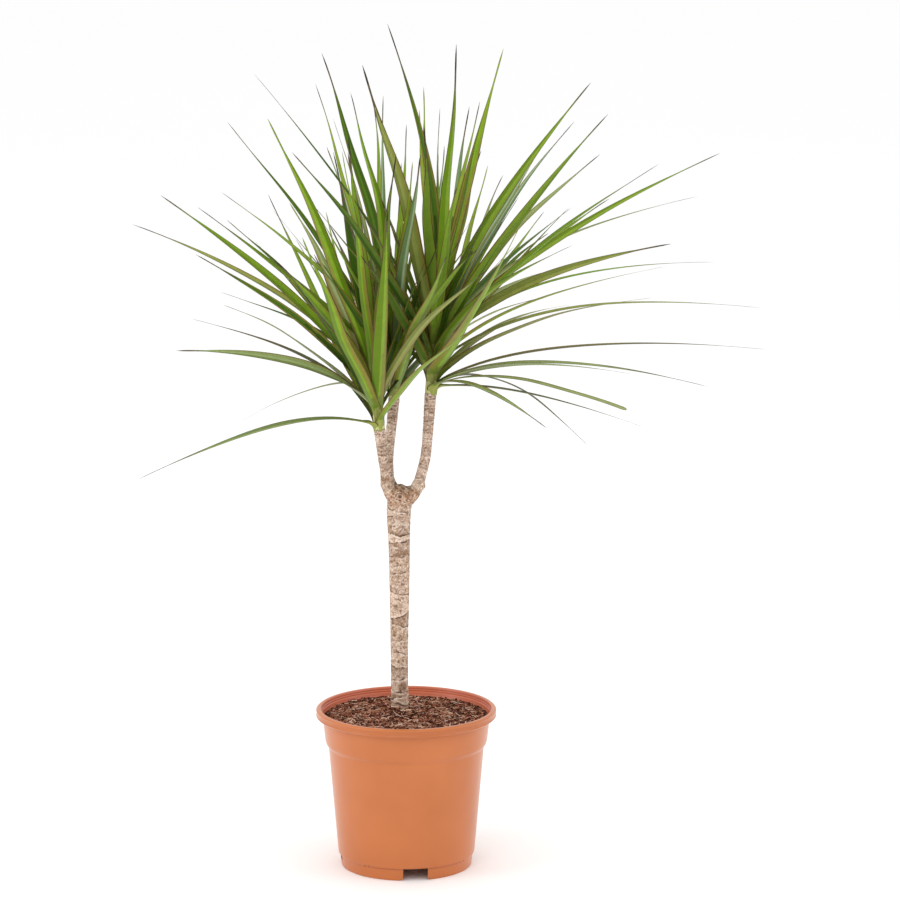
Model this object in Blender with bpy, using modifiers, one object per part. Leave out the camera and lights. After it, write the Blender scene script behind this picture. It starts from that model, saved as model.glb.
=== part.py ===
"""Potted dragon tree: a cane that forks into three limbs, each with a head of sword leaves.

Everything is drawn about the pot's axis: metres, +Z up, the floor at z = 0, the front towards -Y.
An empty then carries the whole plant, so that the origin lies under the middle of its crown.
"""
import math
import random

import bmesh
import bpy
from mathutils import Vector
from mathutils.bvhtree import BVHTree

MM = 0.001
UP = Vector((0.0, 0.0, 1.0))
CLEAR = 0.3                       # mm, the gap between pieces that touch

# Pot, mm: radius and height of each turn of the wall, from the lip to the foot
POT_OUTSIDE = [(83.2, 151.5), (85.0, 149.9), (85.0, 144.4), (83.5, 142.7), (78.7, 142.2),
               (76.4, 121.6), (75.7, 118.6), (74.2, 116.4), (73.2, 114.6), (64.1, 12.4),
               (62.8, 11.3), (61.4, 0.0)]
POT_INSIDE = [(80.2, 151.5), (79.4, 149.6), (78.5, 145.0), (76.9, 141.2), (74.6, 122.4),
              (73.9, 119.4), (72.4, 117.2), (71.4, 115.4), (62.3, 15.6), (60.4, 14.0)]
FOOT_INSIDE = [(59.4, 0.0), (59.8, 12.0)]
POT_STEPS = 48
NOTCH_WIDTH = 23.4                # gaps in the foot ring, front and back
NOTCH_HEIGHT = 12.0
NOTCH_ROUND = 3.4
NOTCH_BEARING = 8.5               # degrees round from the front, towards the right
SLOT_SIZE = (9.0, 5.2)            # drain slots at the top of the foot band, left and right
SLOT_ROUND = 1.5
SLOT_HEIGHT = 8.8
SLOT_BEARING = -79.5
CUT_DEPTH = 14.0                  # of the cutters that go through the foot's wall
DRAIN_COUNT = 6
DRAIN_RADIUS = 4.0
DRAIN_RING = 42.0

# Soil, mm
SOIL_EDGE = 143.8
SOIL_TOP = 145.5
SOIL_FLAT = 16.0                  # radius of the level spot under the trunk

# Cane, mm: x, y, z and radius of each station, from below
TRUNK = [(-6.0, 0.0, SOIL_TOP + CLEAR, 8.8), (-6.0, 0.0, 153.0, 8.3), (-6.2, 0.0, 180.0, 8.0),
         (-6.3, 0.0, 215.0, 8.3), (-6.1, 0.0, 262.0, 9.2), (-6.3, 0.0, 312.0, 10.1),
         (-6.5, 0.0, 340.0, 11.3), (-5.3, 0.0, 353.0, 12.0)]
KNUCKLE = (-3.8, 0.5, 356.0)
KNUCKLE_RADII = (15.5, 12.0, 10.0)
EYE_SCAR = (-5.0, 356.0)          # x and z of the pruned bud on the knuckle's front
EYE_RADIUS = 5.6
STUBS = {                         # each runs on to the foot of its limb
    "left": [(-7.0, -2.0, 350.0, 7.5), (-13.6, -3.6, 358.0, 6.6)],
    "middle": [(-6.0, 3.0, 352.0, 7.5), (-12.0, 6.6, 360.0, 6.4)],
    "right": [(1.0, 0.5, 352.0, 8.0), (8.2, 0.6, 359.5, 6.4)],
}
LIMBS = {
    "left": [(-17.6, -4.8, 367.4, 5.3), (-18.9, -5.4, 380.0, 5.0), (-20.8, -6.2, 392.0, 4.9),
             (-23.4, -7.4, 412.0, 5.1), (-24.4, -8.0, 420.0, 5.5)],
    "middle": [(-15.4, 8.7, 368.4, 5.1), (-16.4, 10.2, 380.0, 4.8), (-15.9, 13.4, 394.0, 4.7),
               (-13.4, 18.8, 418.0, 4.8), (-11.0, 23.0, 443.0, 5.4)],
    "right": [(12.7, 0.8, 369.0, 5.2), (15.2, 1.0, 378.0, 4.9), (18.4, 1.4, 392.0, 4.8),
              (20.8, 2.0, 418.0, 4.9), (23.2, 2.6, 452.0, 5.5)],
}

# Heads, mm: the leafy stem above each limb, its top, and how many whorls it is built of
HEAD_TOPS = {"left": (-29.5, -9.5, 474.0), "middle": (-10.5, 25.0, 498.0), "right": (26.0, 3.0, 512.0)}
WHORLS = {"left": 5, "middle": 5, "right": 6}
LOWEST_SHARE = 1.7                # the lowest whorl is this much taller than the others
STEM_FOOT = 5.6                   # radius where the stem leaves the limb
STEM_SWELL = 8.4                  # its widest, at the top of the lowest whorl
STEM_TIP = 4.4
STEM_SIDES = 12
STEM_DRAW = 0.4                   # how much each whorl narrows towards its top

# Leaves, mm
LEAF_LENGTHS = (322.0, 350.0)     # of the straight line from root to tip
LEAF_THICK = 3.6
LEAF_STATIONS = 8
TIP_SHARE = 0.07                  # what is left of the width at the very tip
PULL_AT = 0.32                    # where along the leaf its bow is drawn up
ROOT_MARGIN = 2.5                 # between a root and the end of its whorl
ROOT_SHARE = 0.2                 # of the stem's radius, from its axis out to the root
SHOULDER = 2.0                    # how far the leaf's bend lies outside its stem,
SHOULDER_RISE = 2.4               # and above its root
EYE = (42.0, -4000.0, 1186.0)     # tips are measured in the plane y = 0 as seen from here

# Leaves that show their whole outline: tip across, tip height, arch, width. All in mm, by head
# and by the side of the crown that they grow to.
SEEN_LEAVES = {
    "left": {
        "front": [(-212, 492, 19, 12), (-126, 708, 10, 15), (-95, 598, -4, 15), (-16, 624, -4, 16),
                  (76, 568, 14, 10), (57, 510, 6, 9)],
        "near": [(-250, 370, 19, 9), (-225, 637, 13, 12)],
        "side": [(-251, 610, 23, 11)],
        "far": [(-198, 522, 14, 8), (-193, 582, 14, 9)],
        "back": [(-126, 638, -5, 9), (-20, 729, 2, 14), (-73, 622, 0, 11)],
    },
    "middle": {
        "front": [(38, 581, 4, 14), (14, 675, 12, 13), (-50, 732, 24, 12)],
        "side": [(-191, 626, 5, 10)],
        "far": [(-171, 547, 13, 8), (-163, 705, 8, 10)],
        "back": [(-153, 425, 18, 8), (-76, 768, 19, 12), (-82, 740, 10, 8), (-72, 682, 12, 10)],
    },
    "right": {
        "front": [(-39, 757, 13, 16), (47, 776, -15, 14), (233, 666, 14, 12), (241, 571, 17, 10),
                  (131, 419, 14, 11), (107, 611, -8, 17), (-104, 677, 12, 10)],
        "near": [(186, 712, 9, 13), (245, 592, 22, 13), (281, 458, 20, 11), (205, 436, 15, 12)],
        "side": [(-16, 795, 21, 13), (90, 772, 5, 15), (289, 676, 18, 11), (336, 493, 20, 10),
                 (170, 741, 14, 14), (285, 575, 30, 10)],
        "far": [(330, 532, 29, 9), (269, 636, 30, 9), (224, 419, 10, 8), (-138, 749, 12, 9)],
        "back": [(155, 705, 16, 10), (179, 675, 22, 9), (210, 470, 14, 8), (170, 402, 28, 8),
                 (152, 535, 18, 9), (141, 569, 24, 8), (132, 602, 18, 8), (128, 622, 8, 8),
                 (90, 656, 8, 9), (76, 665, -4, 10), (61, 691, 4, 9), (59, 719, 3, 11),
                 (36, 683, 6, 10), (32, 718, -8, 9), (17, 737, 6, 11), (-169, 640, 8, 9)],
    },
}
SIDES = {"front": -1.0, "near": -0.5, "side": 0.0, "far": 0.5, "back": 1.0}
LEAN_TO_VIEW = 0.45               # radians that these turn their face to the front
LEAN_SPREAD = 0.30
TURN_BY = 0.4                     # of the leaf's length, by which it has turned its face
SWELLING = 0.25                   # by which a leaf is thickened for the test of its room
FREE_FROM = 3                     # stations from the root on which leaves of a whorl may touch

# Leaves that fill the heads behind and before them
FILL = {"left": 16, "middle": 14, "right": 14}
FILL_BACK = {"left": 196.0, "middle": 180.0, "right": 164.0}     # middle of each back sector
FILL_FRONT = {"left": -14.0, "middle": 0.0, "right": 14.0}       # and of each front sector
FILL_SPREAD = 27.0                # degrees to either side
FILL_RISE = (4.0, 72.0)           # degrees above level, lowest and highest leaf
FILL_FRONT_RISE = 30.0            # only leaves steeper than this grow forwards
FILL_LENGTHS = (320.0, 250.0)     # of the lowest and the highest leaf
FILL_LENGTH_SPREAD = 18.0
FILL_WIDTHS = (9.0, 14.0)
FILL_ARCH = 0.06                  # of the length, on a level leaf
GOLDEN_ANGLE = 137.508
NUDGES = [0, 14, -14, 28, -28, 42, -42, 60, -60, 80, -80]      # mm along the length, until clear


def clear_scene():
    for thing in list(bpy.data.objects):
        bpy.data.objects.remove(thing, do_unlink=True)


def make_collection(name):
    group = bpy.data.collections.new(name)
    bpy.context.scene.collection.children.link(group)
    return group


def make_material(name, colour, roughness):
    made = bpy.data.materials.new(name)
    made.use_nodes = True
    shader = made.node_tree.nodes["Principled BSDF"]
    shader.inputs["Base Color"].default_value = (*colour, 1.0)
    shader.inputs["Roughness"].default_value = roughness
    shader.inputs["Metallic"].default_value = 0.0
    return made


def mesh_object(name, mesh, group):
    made = bpy.data.objects.new(name, mesh)
    group.objects.link(made)
    return made


def mesh_from(name, points, faces):
    mesh = bpy.data.meshes.new(name)
    mesh.from_pydata([Vector(p) * MM for p in points], [], faces)
    return mesh


def evaluated_mesh(thing):
    """The object's mesh with its modifiers, curves and welded caps worked out."""
    view = bpy.context.evaluated_depsgraph_get()
    mesh = bpy.data.meshes.new_from_object(thing.evaluated_get(view))
    bm = bmesh.new()
    bm.from_mesh(mesh)
    bmesh.ops.remove_doubles(bm, verts=bm.verts, dist=0.00001)
    bmesh.ops.recalc_face_normals(bm, faces=bm.faces)
    bm.to_mesh(mesh)
    bm.free()
    return mesh


def settle(thing):
    """Replaces an object by a mesh object of its evaluated shape."""
    mesh = evaluated_mesh(thing)
    name, group = thing.name, thing.users_collection[0]
    bpy.data.objects.remove(thing, do_unlink=True)
    return mesh_object(name, mesh, group)


def turned(name, profile, group):
    """A profile of (radius, height) that starts and ends on the axis, spun about it."""
    mesh = bpy.data.meshes.new(name)
    edges = [(i, i + 1) for i in range(len(profile) - 1)]
    mesh.from_pydata([(r * MM, 0.0, z * MM) for r, z in profile], edges, [])
    made = mesh_object(name, mesh, group)
    screw = made.modifiers.new("spin", "SCREW")
    screw.steps = POT_STEPS
    screw.render_steps = POT_STEPS
    screw.use_merge_vertices = True
    screw.merge_threshold = 0.00001
    return made


def tube(name, stations, group, sides=12, start_way=None, end_way=None):
    """A limb through stations of (x, y, z, radius); its flat ends may face a given way."""
    path = bpy.data.curves.new(name, "CURVE")
    path.dimensions = "3D"
    path.bevel_depth = MM
    path.bevel_resolution = sides // 4 - 1
    path.resolution_u = 3
    path.use_fill_caps = True
    spline = path.splines.new("BEZIER")
    spline.bezier_points.add(len(stations) - 1)
    for point, (x, y, z, radius) in zip(spline.bezier_points, stations):
        point.co = Vector((x, y, z)) * MM
        point.radius = radius
        point.handle_left_type = "AUTO"
        point.handle_right_type = "AUTO"
    for place, near, way in ((0, 1, start_way), (-1, -2, end_way)):
        if way:
            point = spline.bezier_points[place]
            reach = (spline.bezier_points[near].co - point.co).length / 3
            point.handle_left_type = "FREE"
            point.handle_right_type = "FREE"
            point.handle_left = point.co - way * reach
            point.handle_right = point.co + way * reach
    made = mesh_object(name, path, group)
    return settle(made)


def way_between(low, high):
    return (Vector(high[:3]) - Vector(low[:3])).normalized()


def limb_foot(side):
    """The way a limb sets out, and the end of its stub, a gap below it."""
    stations = LIMBS[side]
    way = way_between(stations[0], stations[1])
    x, y, z = Vector(stations[0][:3]) - way * CLEAR
    return way, (x, y, z, stations[0][3])


def make_limb(side, group):
    stations = LIMBS[side]
    top_way = way_between(stations[-1], HEAD_TOPS[side])
    return tube(f"limb_{side}", stations, group, start_way=limb_foot(side)[0], end_way=top_way)


def keep_main_body(mesh):
    """Drops loose scraps and fills sealed hollows: only the largest shell stays."""
    bm = bmesh.new()
    bm.from_mesh(mesh)
    left = set(bm.verts)
    shells = []
    while left:
        shell, edge = set(), [left.pop()]
        while edge:
            vert = edge.pop()
            shell.add(vert)
            for near in (e.other_vert(vert) for e in vert.link_edges):
                if near in left:
                    left.remove(near)
                    edge.append(near)
        shells.append(shell)
    shells.sort(key=len)
    bmesh.ops.delete(bm, geom=[v for shell in shells[:-1] for v in shell], context="VERTS")
    bm.to_mesh(mesh)
    bm.free()


def join_all(body, joined, solver="EXACT"):
    """Fuses every object of a collection onto the body, and removes them."""
    union = body.modifiers.new("join", "BOOLEAN")
    union.operation = "UNION"
    union.operand_type = "COLLECTION"
    union.collection = joined
    union.solver = solver
    body = settle(body)
    keep_main_body(body.data)
    for thing in list(joined.objects):
        bpy.data.objects.remove(thing, do_unlink=True)
    bpy.data.collections.remove(joined)
    return body


def bearing_vector(degrees):
    """Level direction, counted from the front (-Y) round to the right (+X)."""
    angle = math.radians(degrees)
    return Vector((math.sin(angle), -math.cos(angle), 0.0))


def notch_cutter(name, bearing, group):
    """A gap in the foot ring: square above, its lower corners rounded outwards."""
    half, top, bend = NOTCH_WIDTH / 2, NOTCH_HEIGHT, NOTCH_ROUND
    right = [(half, top)]
    for step in range(4):
        angle = math.radians(30 * step)
        right.append((half + bend * (1 - math.cos(angle)), bend * (1 - math.sin(angle))))
    right.append((half + bend, -2.0))
    outline = right + [(-x, z) for x, z in reversed(right)]
    path = bpy.data.curves.new(name, "CURVE")
    path.dimensions = "2D"
    path.fill_mode = "BOTH"
    path.extrude = CUT_DEPTH / 2 * MM
    spline = path.splines.new("POLY")
    spline.points.add(len(outline) - 1)
    spline.use_cyclic_u = True
    for point, (x, z) in zip(spline.points, outline):
        point.co = (x * MM, z * MM, 0.0, 1.0)
    cutter = settle(mesh_object(name, path, group))
    place_cutter(cutter, bearing, POT_OUTSIDE[-1][0], 0.0)
    cutter.rotation_euler = (math.radians(90), 0.0, math.radians(bearing))
    return cutter


def slot_cutter(name, bearing, group):
    bm = bmesh.new()
    bmesh.ops.create_cube(bm, size=1.0)
    size = Vector((SLOT_SIZE[0], CUT_DEPTH, SLOT_SIZE[1])) * MM
    bmesh.ops.scale(bm, vec=size, verts=bm.verts)
    bmesh.ops.bevel(bm, geom=[e for e in bm.edges if abs(e.verts[0].co.y - e.verts[1].co.y) > 0.001],
                    offset=SLOT_ROUND * MM, segments=2, affect="EDGES")
    mesh = bpy.data.meshes.new(name)
    bm.to_mesh(mesh)
    bm.free()
    cutter = mesh_object(name, mesh, group)
    place_cutter(cutter, bearing, POT_OUTSIDE[-1][0] + 1.0, SLOT_HEIGHT)
    return cutter


def place_cutter(cutter, bearing, radius, height):
    cutter.location = (bearing_vector(bearing) * radius + UP * height) * MM
    cutter.rotation_euler = (0.0, 0.0, math.radians(bearing))
    cutter.hide_render = True
    cutter.display_type = "WIRE"


def drain_cutter(name, bearing, group):
    bm = bmesh.new()
    bmesh.ops.create_cone(bm, cap_ends=True, segments=12, radius1=DRAIN_RADIUS * MM,
                          radius2=DRAIN_RADIUS * MM, depth=10.0 * MM)
    mesh = bpy.data.meshes.new(name)
    bm.to_mesh(mesh)
    bm.free()
    cutter = mesh_object(name, mesh, group)
    place_cutter(cutter, bearing, DRAIN_RING, FOOT_INSIDE[-1][1] + 1.0)
    return cutter


def make_pot(group, cutters):
    inside = list(reversed(POT_INSIDE))
    profile = [(0.0, inside[0][1])] + inside + POT_OUTSIDE + FOOT_INSIDE + [(0.0, FOOT_INSIDE[-1][1])]
    pot = turned("pot", profile, group)
    for half_turn in (0, 180):
        notch_cutter(f"notch_cutter_{half_turn}", NOTCH_BEARING + half_turn, cutters)
        slot_cutter(f"slot_cutter_{half_turn}", SLOT_BEARING + half_turn, cutters)
    for number in range(DRAIN_COUNT):
        drain_cutter(f"drain_cutter_{number + 1}", number * 360 / DRAIN_COUNT, cutters)
    cut = pot.modifiers.new("notches", "BOOLEAN")
    cut.operation = "DIFFERENCE"
    cut.operand_type = "COLLECTION"
    cut.collection = cutters
    pot.data.materials.append(make_material("pot_plastic", (0.64, 0.25, 0.11), 0.42))
    return pot


def inside_radius(height):
    """The pot's inner radius at a height."""
    for (wide, high), (narrow, low) in zip(POT_INSIDE, POT_INSIDE[1:]):
        if low <= height <= high:
            return narrow + (wide - narrow) * (height - low) / (high - low)


def make_soil(group):
    """Fills the pot to just under its lip, a gap clear of its wall and floor."""
    gap = CLEAR + 0.1
    wall = [(r - gap, z + gap) for r, z in POT_INSIDE if z < SOIL_EDGE - 2 * gap]
    top_wall = inside_radius(SOIL_EDGE) - gap
    profile = [(0.0, SOIL_TOP), (SOIL_FLAT, SOIL_TOP), (46.0, SOIL_TOP - 0.6), (top_wall, SOIL_EDGE)]
    profile += wall + [(0.0, wall[-1][1])]
    soil = turned("soil", profile, group)
    soil.data.materials.append(make_material("peat", (0.075, 0.035, 0.02), 0.95))
    return soil


def make_trunk(group, bark):
    parts = make_collection("knuckle_parts")
    trunk = tube("trunk", TRUNK, group, sides=16)
    bm = bmesh.new()
    bmesh.ops.create_uvsphere(bm, u_segments=16, v_segments=10, radius=1.0)
    bmesh.ops.scale(bm, vec=Vector(KNUCKLE_RADII) * MM, verts=bm.verts)
    bmesh.ops.translate(bm, vec=Vector(KNUCKLE) * MM, verts=bm.verts)
    mesh = bpy.data.meshes.new("knuckle")
    bm.to_mesh(mesh)
    bm.free()
    mesh_object("knuckle", mesh, parts)
    for side, stations in STUBS.items():
        way, end = limb_foot(side)
        tube(f"stub_{side}", stations + [end], parts, end_way=way)
    x, z = EYE_SCAR
    tube("eye_scar", [(x, -6.0, z, EYE_RADIUS), (x, -12.6, z, EYE_RADIUS)], parts)
    trunk = join_all(trunk, parts)
    trunk.data.materials.append(bark)
    return trunk


def swell(share):
    """Blade width from root (0) to tip (1), as a share of the leaf's greatest width."""
    body = 0.60 + 0.40 * math.sin(math.pi * share ** 0.75)
    return max(body * (1.0 - share ** 3) ** 0.9, TIP_SHARE)


def leaf_path(axis, radius, tip, arch):
    """Root inside the stem, a bend just outside it, then one bowed sweep to the tip."""
    out = Vector((tip.x - axis.x, tip.y - axis.y, 0.0)).normalized()
    root = axis + out * ROOT_SHARE * radius
    bend = axis + out * (radius + SHOULDER) + UP * SHOULDER_RISE
    chord = tip - bend
    lift = (UP - chord * (UP.dot(chord) / chord.length_squared)).normalized()
    pull = bend + chord * PULL_AT + lift * 2.0 * arch
    path = [root]
    for step in range(LEAF_STATIONS):
        t = step / (LEAF_STATIONS - 1)
        path.append(bend * (1 - t) ** 2 + pull * 2 * t * (1 - t) + tip * t * t)
    return path


def blade(path, width, turn, swollen=0.0):
    """Points and faces of a blade with a lozenge section, which turns about its own line."""
    points, faces = [], [(0, 1, 2, 3)]
    last = len(path) - 1
    for i, spot in enumerate(path):
        share = i / last
        along = (path[min(i + 1, last)] - path[max(i - 1, 0)]).normalized()
        across = along.cross(UP).normalized()
        face = across.cross(along)
        angle = turn * min(1.0, share / TURN_BY)
        across, face = (across * math.cos(angle) + face * math.sin(angle),
                        face * math.cos(angle) - across * math.sin(angle))
        half = width / 2 * swell(share) + swollen
        thick = LEAF_THICK / 2 * min(1.0, 1.9 * swell(share)) + swollen
        points += [spot + across * half, spot + face * thick, spot - across * half, spot - face * thick]
    for i in range(last):
        for k in range(4):
            a, b = 4 * i + k, 4 * i + (k + 1) % 4
            faces.append((a, a + 4, b + 4, b))
    faces.append(tuple(4 * last + 3 - k for k in range(4)))
    return points, faces


def tree_of(points, faces, first_face=0):
    return BVHTree.FromPolygons(points, faces[first_face:])


class Leaf:
    """One leaf: where it points, how it bows, and the whorl of the head it grows in."""

    def __init__(self, head, tip_at, reach, arch, width, turn):
        self.head = head
        self.tip_at = tip_at          # gives the tip for a length
        self.reach = reach
        self.arch = arch
        self.width = width
        self.turn = turn
        self.whorl = 0
        self.share = 0.0              # height of the root in its whorl
        self.path = None


def along_sight(x, z, depth):
    """Moves a tip measured in the plane y = 0 to its depth, on the line of sight."""
    eye = Vector(EYE)
    return eye + (Vector((x, 0.0, z)) - eye) * (1.0 - depth / EYE[1])


def seen_leaves(head, base, chance):
    """The leaves whose outline shows, as far forward or back as their length takes them."""
    leaves = []
    for side, rows in SEEN_LEAVES[head].items():
        sign = SIDES[side]
        for x, z, arch, width in rows:
            spread = math.hypot(x - base.x, z - base.z)

            def tip_at(length, x=x, z=z, spread=spread, sign=sign):
                depth = math.sqrt(max(length ** 2 - spread ** 2, 0.0))
                return along_sight(x, z, base.y + sign * depth)

            facing = -1.0 if x > base.x else 1.0
            turn = facing * LEAN_TO_VIEW + chance.uniform(-LEAN_SPREAD, LEAN_SPREAD)
            leaves.append(Leaf(head, tip_at, chance.uniform(*LEAF_LENGTHS), arch, width, turn))
    return leaves


def fill_leaves(head, base, chance):
    """Leaves by the golden angle, from level to steep, behind and before the outline's."""
    leaves = []
    count = FILL[head]
    for i in range(count):
        rise = FILL_RISE[0] + (FILL_RISE[1] - FILL_RISE[0]) * i / (count - 1)
        round_share = (i * GOLDEN_ANGLE / 360.0) % 1.0
        forwards = rise > FILL_FRONT_RISE and round_share > 0.5
        spread = (round_share * 4.0 % 2.0) - 1.0
        bearing = (FILL_FRONT if forwards else FILL_BACK)[head] + spread * FILL_SPREAD
        slope = math.radians(rise)
        way = bearing_vector(bearing) * math.cos(slope) + UP * math.sin(slope)

        def tip_at(length, way=way):
            return base + way * length

        longest, shortest = FILL_LENGTHS
        length = longest + (shortest - longest) * i / (count - 1)
        length += chance.uniform(-FILL_LENGTH_SPREAD, FILL_LENGTH_SPREAD)
        arch = FILL_ARCH * length * math.cos(slope)
        width = chance.uniform(*FILL_WIDTHS)
        leaves.append(Leaf(head, tip_at, length, arch, width, chance.uniform(-0.5, 0.5)))
    return leaves


class Head:
    """A limb's leafy stem, cut into whorls that stand on each other a gap apart."""

    def __init__(self, side):
        self.side = side
        x, y, z, _ = LIMBS[side][-1]
        self.foot = Vector((x, y, z))
        self.top = Vector(HEAD_TOPS[side])
        self.count = WHORLS[side]
        self.rise = self.top - self.foot
        self.step = self.rise.length / (self.count - 1 + LOWEST_SHARE)

    def at(self, height):
        """The stem's centre at a height above its foot."""
        return self.foot + self.rise.normalized() * height

    def floor(self, whorl):
        """Height above the foot at which a whorl starts."""
        return 0.0 if whorl == 0 else (whorl - 1 + LOWEST_SHARE) * self.step

    def radius(self, whorl):
        share = whorl / (self.count - 1)
        return STEM_SWELL + (STEM_TIP - STEM_SWELL) * share

    def section(self, whorl):
        """Points and faces of one whorl's stretch of stem."""
        low = self.at(self.floor(whorl) + CLEAR)
        high = self.at(self.floor(whorl + 1))
        wide = self.radius(whorl)
        narrow = STEM_FOOT if whorl == 0 else wide
        sides = STEM_SIDES
        lean = UP.rotation_difference(self.rise)
        points = []
        for centre, radius in ((low, narrow), (high, wide - STEM_DRAW)):
            for k in range(sides):
                angle = 2 * math.pi * k / sides
                points.append(centre + lean @ Vector((math.cos(angle), math.sin(angle), 0.0)) * radius)
        faces = [(k, (k + 1) % sides, sides + (k + 1) % sides, sides + k) for k in range(sides)]
        faces.append(tuple(reversed(range(sides))))
        faces.append(tuple(range(sides, 2 * sides)))
        return points, faces

    def root(self, leaf):
        low = self.floor(leaf.whorl) + ROOT_MARGIN
        high = self.floor(leaf.whorl + 1) - 2 * ROOT_MARGIN
        return self.at(low + (high - low) * leaf.share), self.radius(leaf.whorl)


def deal_whorls(head, leaves):
    """The flattest leaves go to the lowest whorl, the steepest to the highest."""
    def steepness(leaf):
        path = leaf_path(head.at(head.rise.length / 2), STEM_SWELL, leaf.tip_at(leaf.reach), leaf.arch)
        launch = (path[2] - path[1]).normalized()
        return launch.z

    ranked = sorted(leaves, key=steepness)
    for place, leaf in enumerate(ranked):
        where = place * head.count / len(ranked)
        leaf.whorl = int(where)
        leaf.share = where - leaf.whorl


def touches(tree, outer, leaf, placed, fixed):
    """True where a swollen leaf meets a limb, another whorl, or a neighbour's free part."""
    own = (leaf.head, leaf.whorl)
    for whorl, other in fixed:
        if whorl != own and tree.overlap(other):
            return True
    for whorl, whole, free in placed:
        if whorl == own:
            if outer.overlap(free):
                return True
        elif tree.overlap(whole):
            return True
    return False


def grow(heads, fixed):
    """Every leaf of every head, each moved a little until it is clear of the others."""
    chance = random.Random(7)
    outline, filling = [], []
    for head in heads.values():
        base = head.at(head.rise.length / 2)
        seen = seen_leaves(head.side, base, chance)
        fill = fill_leaves(head.side, base, chance)
        deal_whorls(head, seen + fill)
        outline += seen
        filling += fill
    grown, placed = [], []
    for leaf in outline + filling:
        axis, radius = heads[leaf.head].root(leaf)
        for nudge in NUDGES:
            path = leaf_path(axis, radius, leaf.tip_at(leaf.reach + nudge), leaf.arch)
            points, faces = blade(path, leaf.width, leaf.turn, swollen=SWELLING)
            tree = tree_of(points, faces)
            outer = tree_of(points, faces, first_face=1 + 4 * FREE_FROM)
            if not touches(tree, outer, leaf, placed, fixed):
                leaf.path = path
                placed.append(((leaf.head, leaf.whorl), tree, outer))
                grown.append(leaf)
                break
    return grown


def make_whorl(head, whorl, leaves, group, green):
    """One stretch of stem with its leaves fused on."""
    name = f"{head.side}_head_whorl_{whorl + 1}"
    stem = mesh_object(name, mesh_from(name, *head.section(whorl)), group)
    parts = make_collection(name + "_leaves")
    for number, leaf in enumerate(leaves):
        mesh_object(f"leaf_{number}", mesh_from("leaf", *blade(leaf.path, leaf.width, leaf.turn)), parts)
    stem = join_all(stem, parts, solver="MANIFOLD")
    stem.data.materials.append(green)
    return stem


def shade(thing, angle):
    thing.data.shade_smooth()
    thing.data.set_sharp_from_angle(angle=math.radians(angle))


def main():
    clear_scene()
    plant = make_collection("potted_dragon_tree")
    cutters = make_collection("cutters")
    bark = make_material("bark", (0.42, 0.30, 0.21), 0.85)
    green = make_material("leaf_green", (0.13, 0.26, 0.05), 0.45)
    pot = make_pot(plant, cutters)
    soil = make_soil(plant)
    trunk = make_trunk(plant, bark)
    pieces = [pot, soil, trunk]
    for side in LIMBS:
        limb = make_limb(side, plant)
        limb.data.materials.append(bark)
        pieces.append(limb)

    heads = {side: Head(side) for side in LIMBS}
    fixed = []
    for side in LIMBS:
        mesh = bpy.data.objects[f"limb_{side}"].data
        points = [v.co / MM for v in mesh.vertices]
        fixed.append((None, tree_of(points, [tuple(p.vertices) for p in mesh.polygons])))
        for whorl in range(heads[side].count):
            fixed.append(((side, whorl), tree_of(*heads[side].section(whorl))))
    grown = grow(heads, fixed)
    for head in heads.values():
        for whorl in range(head.count):
            leaves = [leaf for leaf in grown if (leaf.head, leaf.whorl) == (head.side, whorl)]
            pieces.append(make_whorl(head, whorl, leaves, plant, green))

    for piece in pieces:
        shade(piece, 35)
    bpy.context.view_layer.update()
    corners = [Vector(corner) for piece in pieces for corner in piece.bound_box]
    middle = [(min(c[i] for c in corners) + max(c[i] for c in corners)) / 2 for i in (0, 1)]
    carrier = bpy.data.objects.new("plant_carrier", None)
    plant.objects.link(carrier)
    carrier.location = (-middle[0], -middle[1], 0.0)
    for piece in pieces + list(cutters.objects):
        piece.parent = carrier


main()
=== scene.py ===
"""Looks of a potted dragon tree: ringed cane, three heads of sword leaves, peat and a terracotta pot.

Lengths are in millimetres about the pot's axis unless a name says otherwise, and pieces are put
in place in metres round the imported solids.
"""

import math
import random

import bmesh
import bpy
import numpy as np
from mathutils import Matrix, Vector, noise
from mathutils.bvhtree import BVHTree


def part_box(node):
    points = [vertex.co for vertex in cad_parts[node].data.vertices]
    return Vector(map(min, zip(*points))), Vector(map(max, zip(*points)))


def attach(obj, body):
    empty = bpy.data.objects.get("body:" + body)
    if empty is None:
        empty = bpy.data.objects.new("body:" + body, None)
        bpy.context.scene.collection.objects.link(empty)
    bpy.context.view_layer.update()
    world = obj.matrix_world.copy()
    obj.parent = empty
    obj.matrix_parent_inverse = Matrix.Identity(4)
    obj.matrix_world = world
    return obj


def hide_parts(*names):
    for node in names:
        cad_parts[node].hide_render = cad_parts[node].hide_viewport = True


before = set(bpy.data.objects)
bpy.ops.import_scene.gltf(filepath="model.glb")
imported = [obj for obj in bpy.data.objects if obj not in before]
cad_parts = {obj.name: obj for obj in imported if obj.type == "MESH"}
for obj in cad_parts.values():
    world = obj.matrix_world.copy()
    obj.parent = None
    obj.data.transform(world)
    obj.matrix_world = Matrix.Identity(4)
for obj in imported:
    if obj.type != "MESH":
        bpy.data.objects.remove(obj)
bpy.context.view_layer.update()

MM = 0.001
UP = Vector((0.0, 0.0, 1.0))
ROUND = 6.28                                 # a full turn, in radians
CLEAR = 0.3                                  # gap between solids that stand on one another
POT_LOW, POT_HIGH = (Vector(corner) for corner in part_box("pot"))
AXIS = Vector(((POT_LOW.x + POT_HIGH.x) / 2, (POT_LOW.y + POT_HIGH.y) / 2, 0.0))

# Camera: where it stands, how far it looks down, and its lens
CAMERA_AT = (41.2, -4000.0, 1186.0)
CAMERA_PITCH = 11.14
CAMERA_LENS = 175.24

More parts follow.
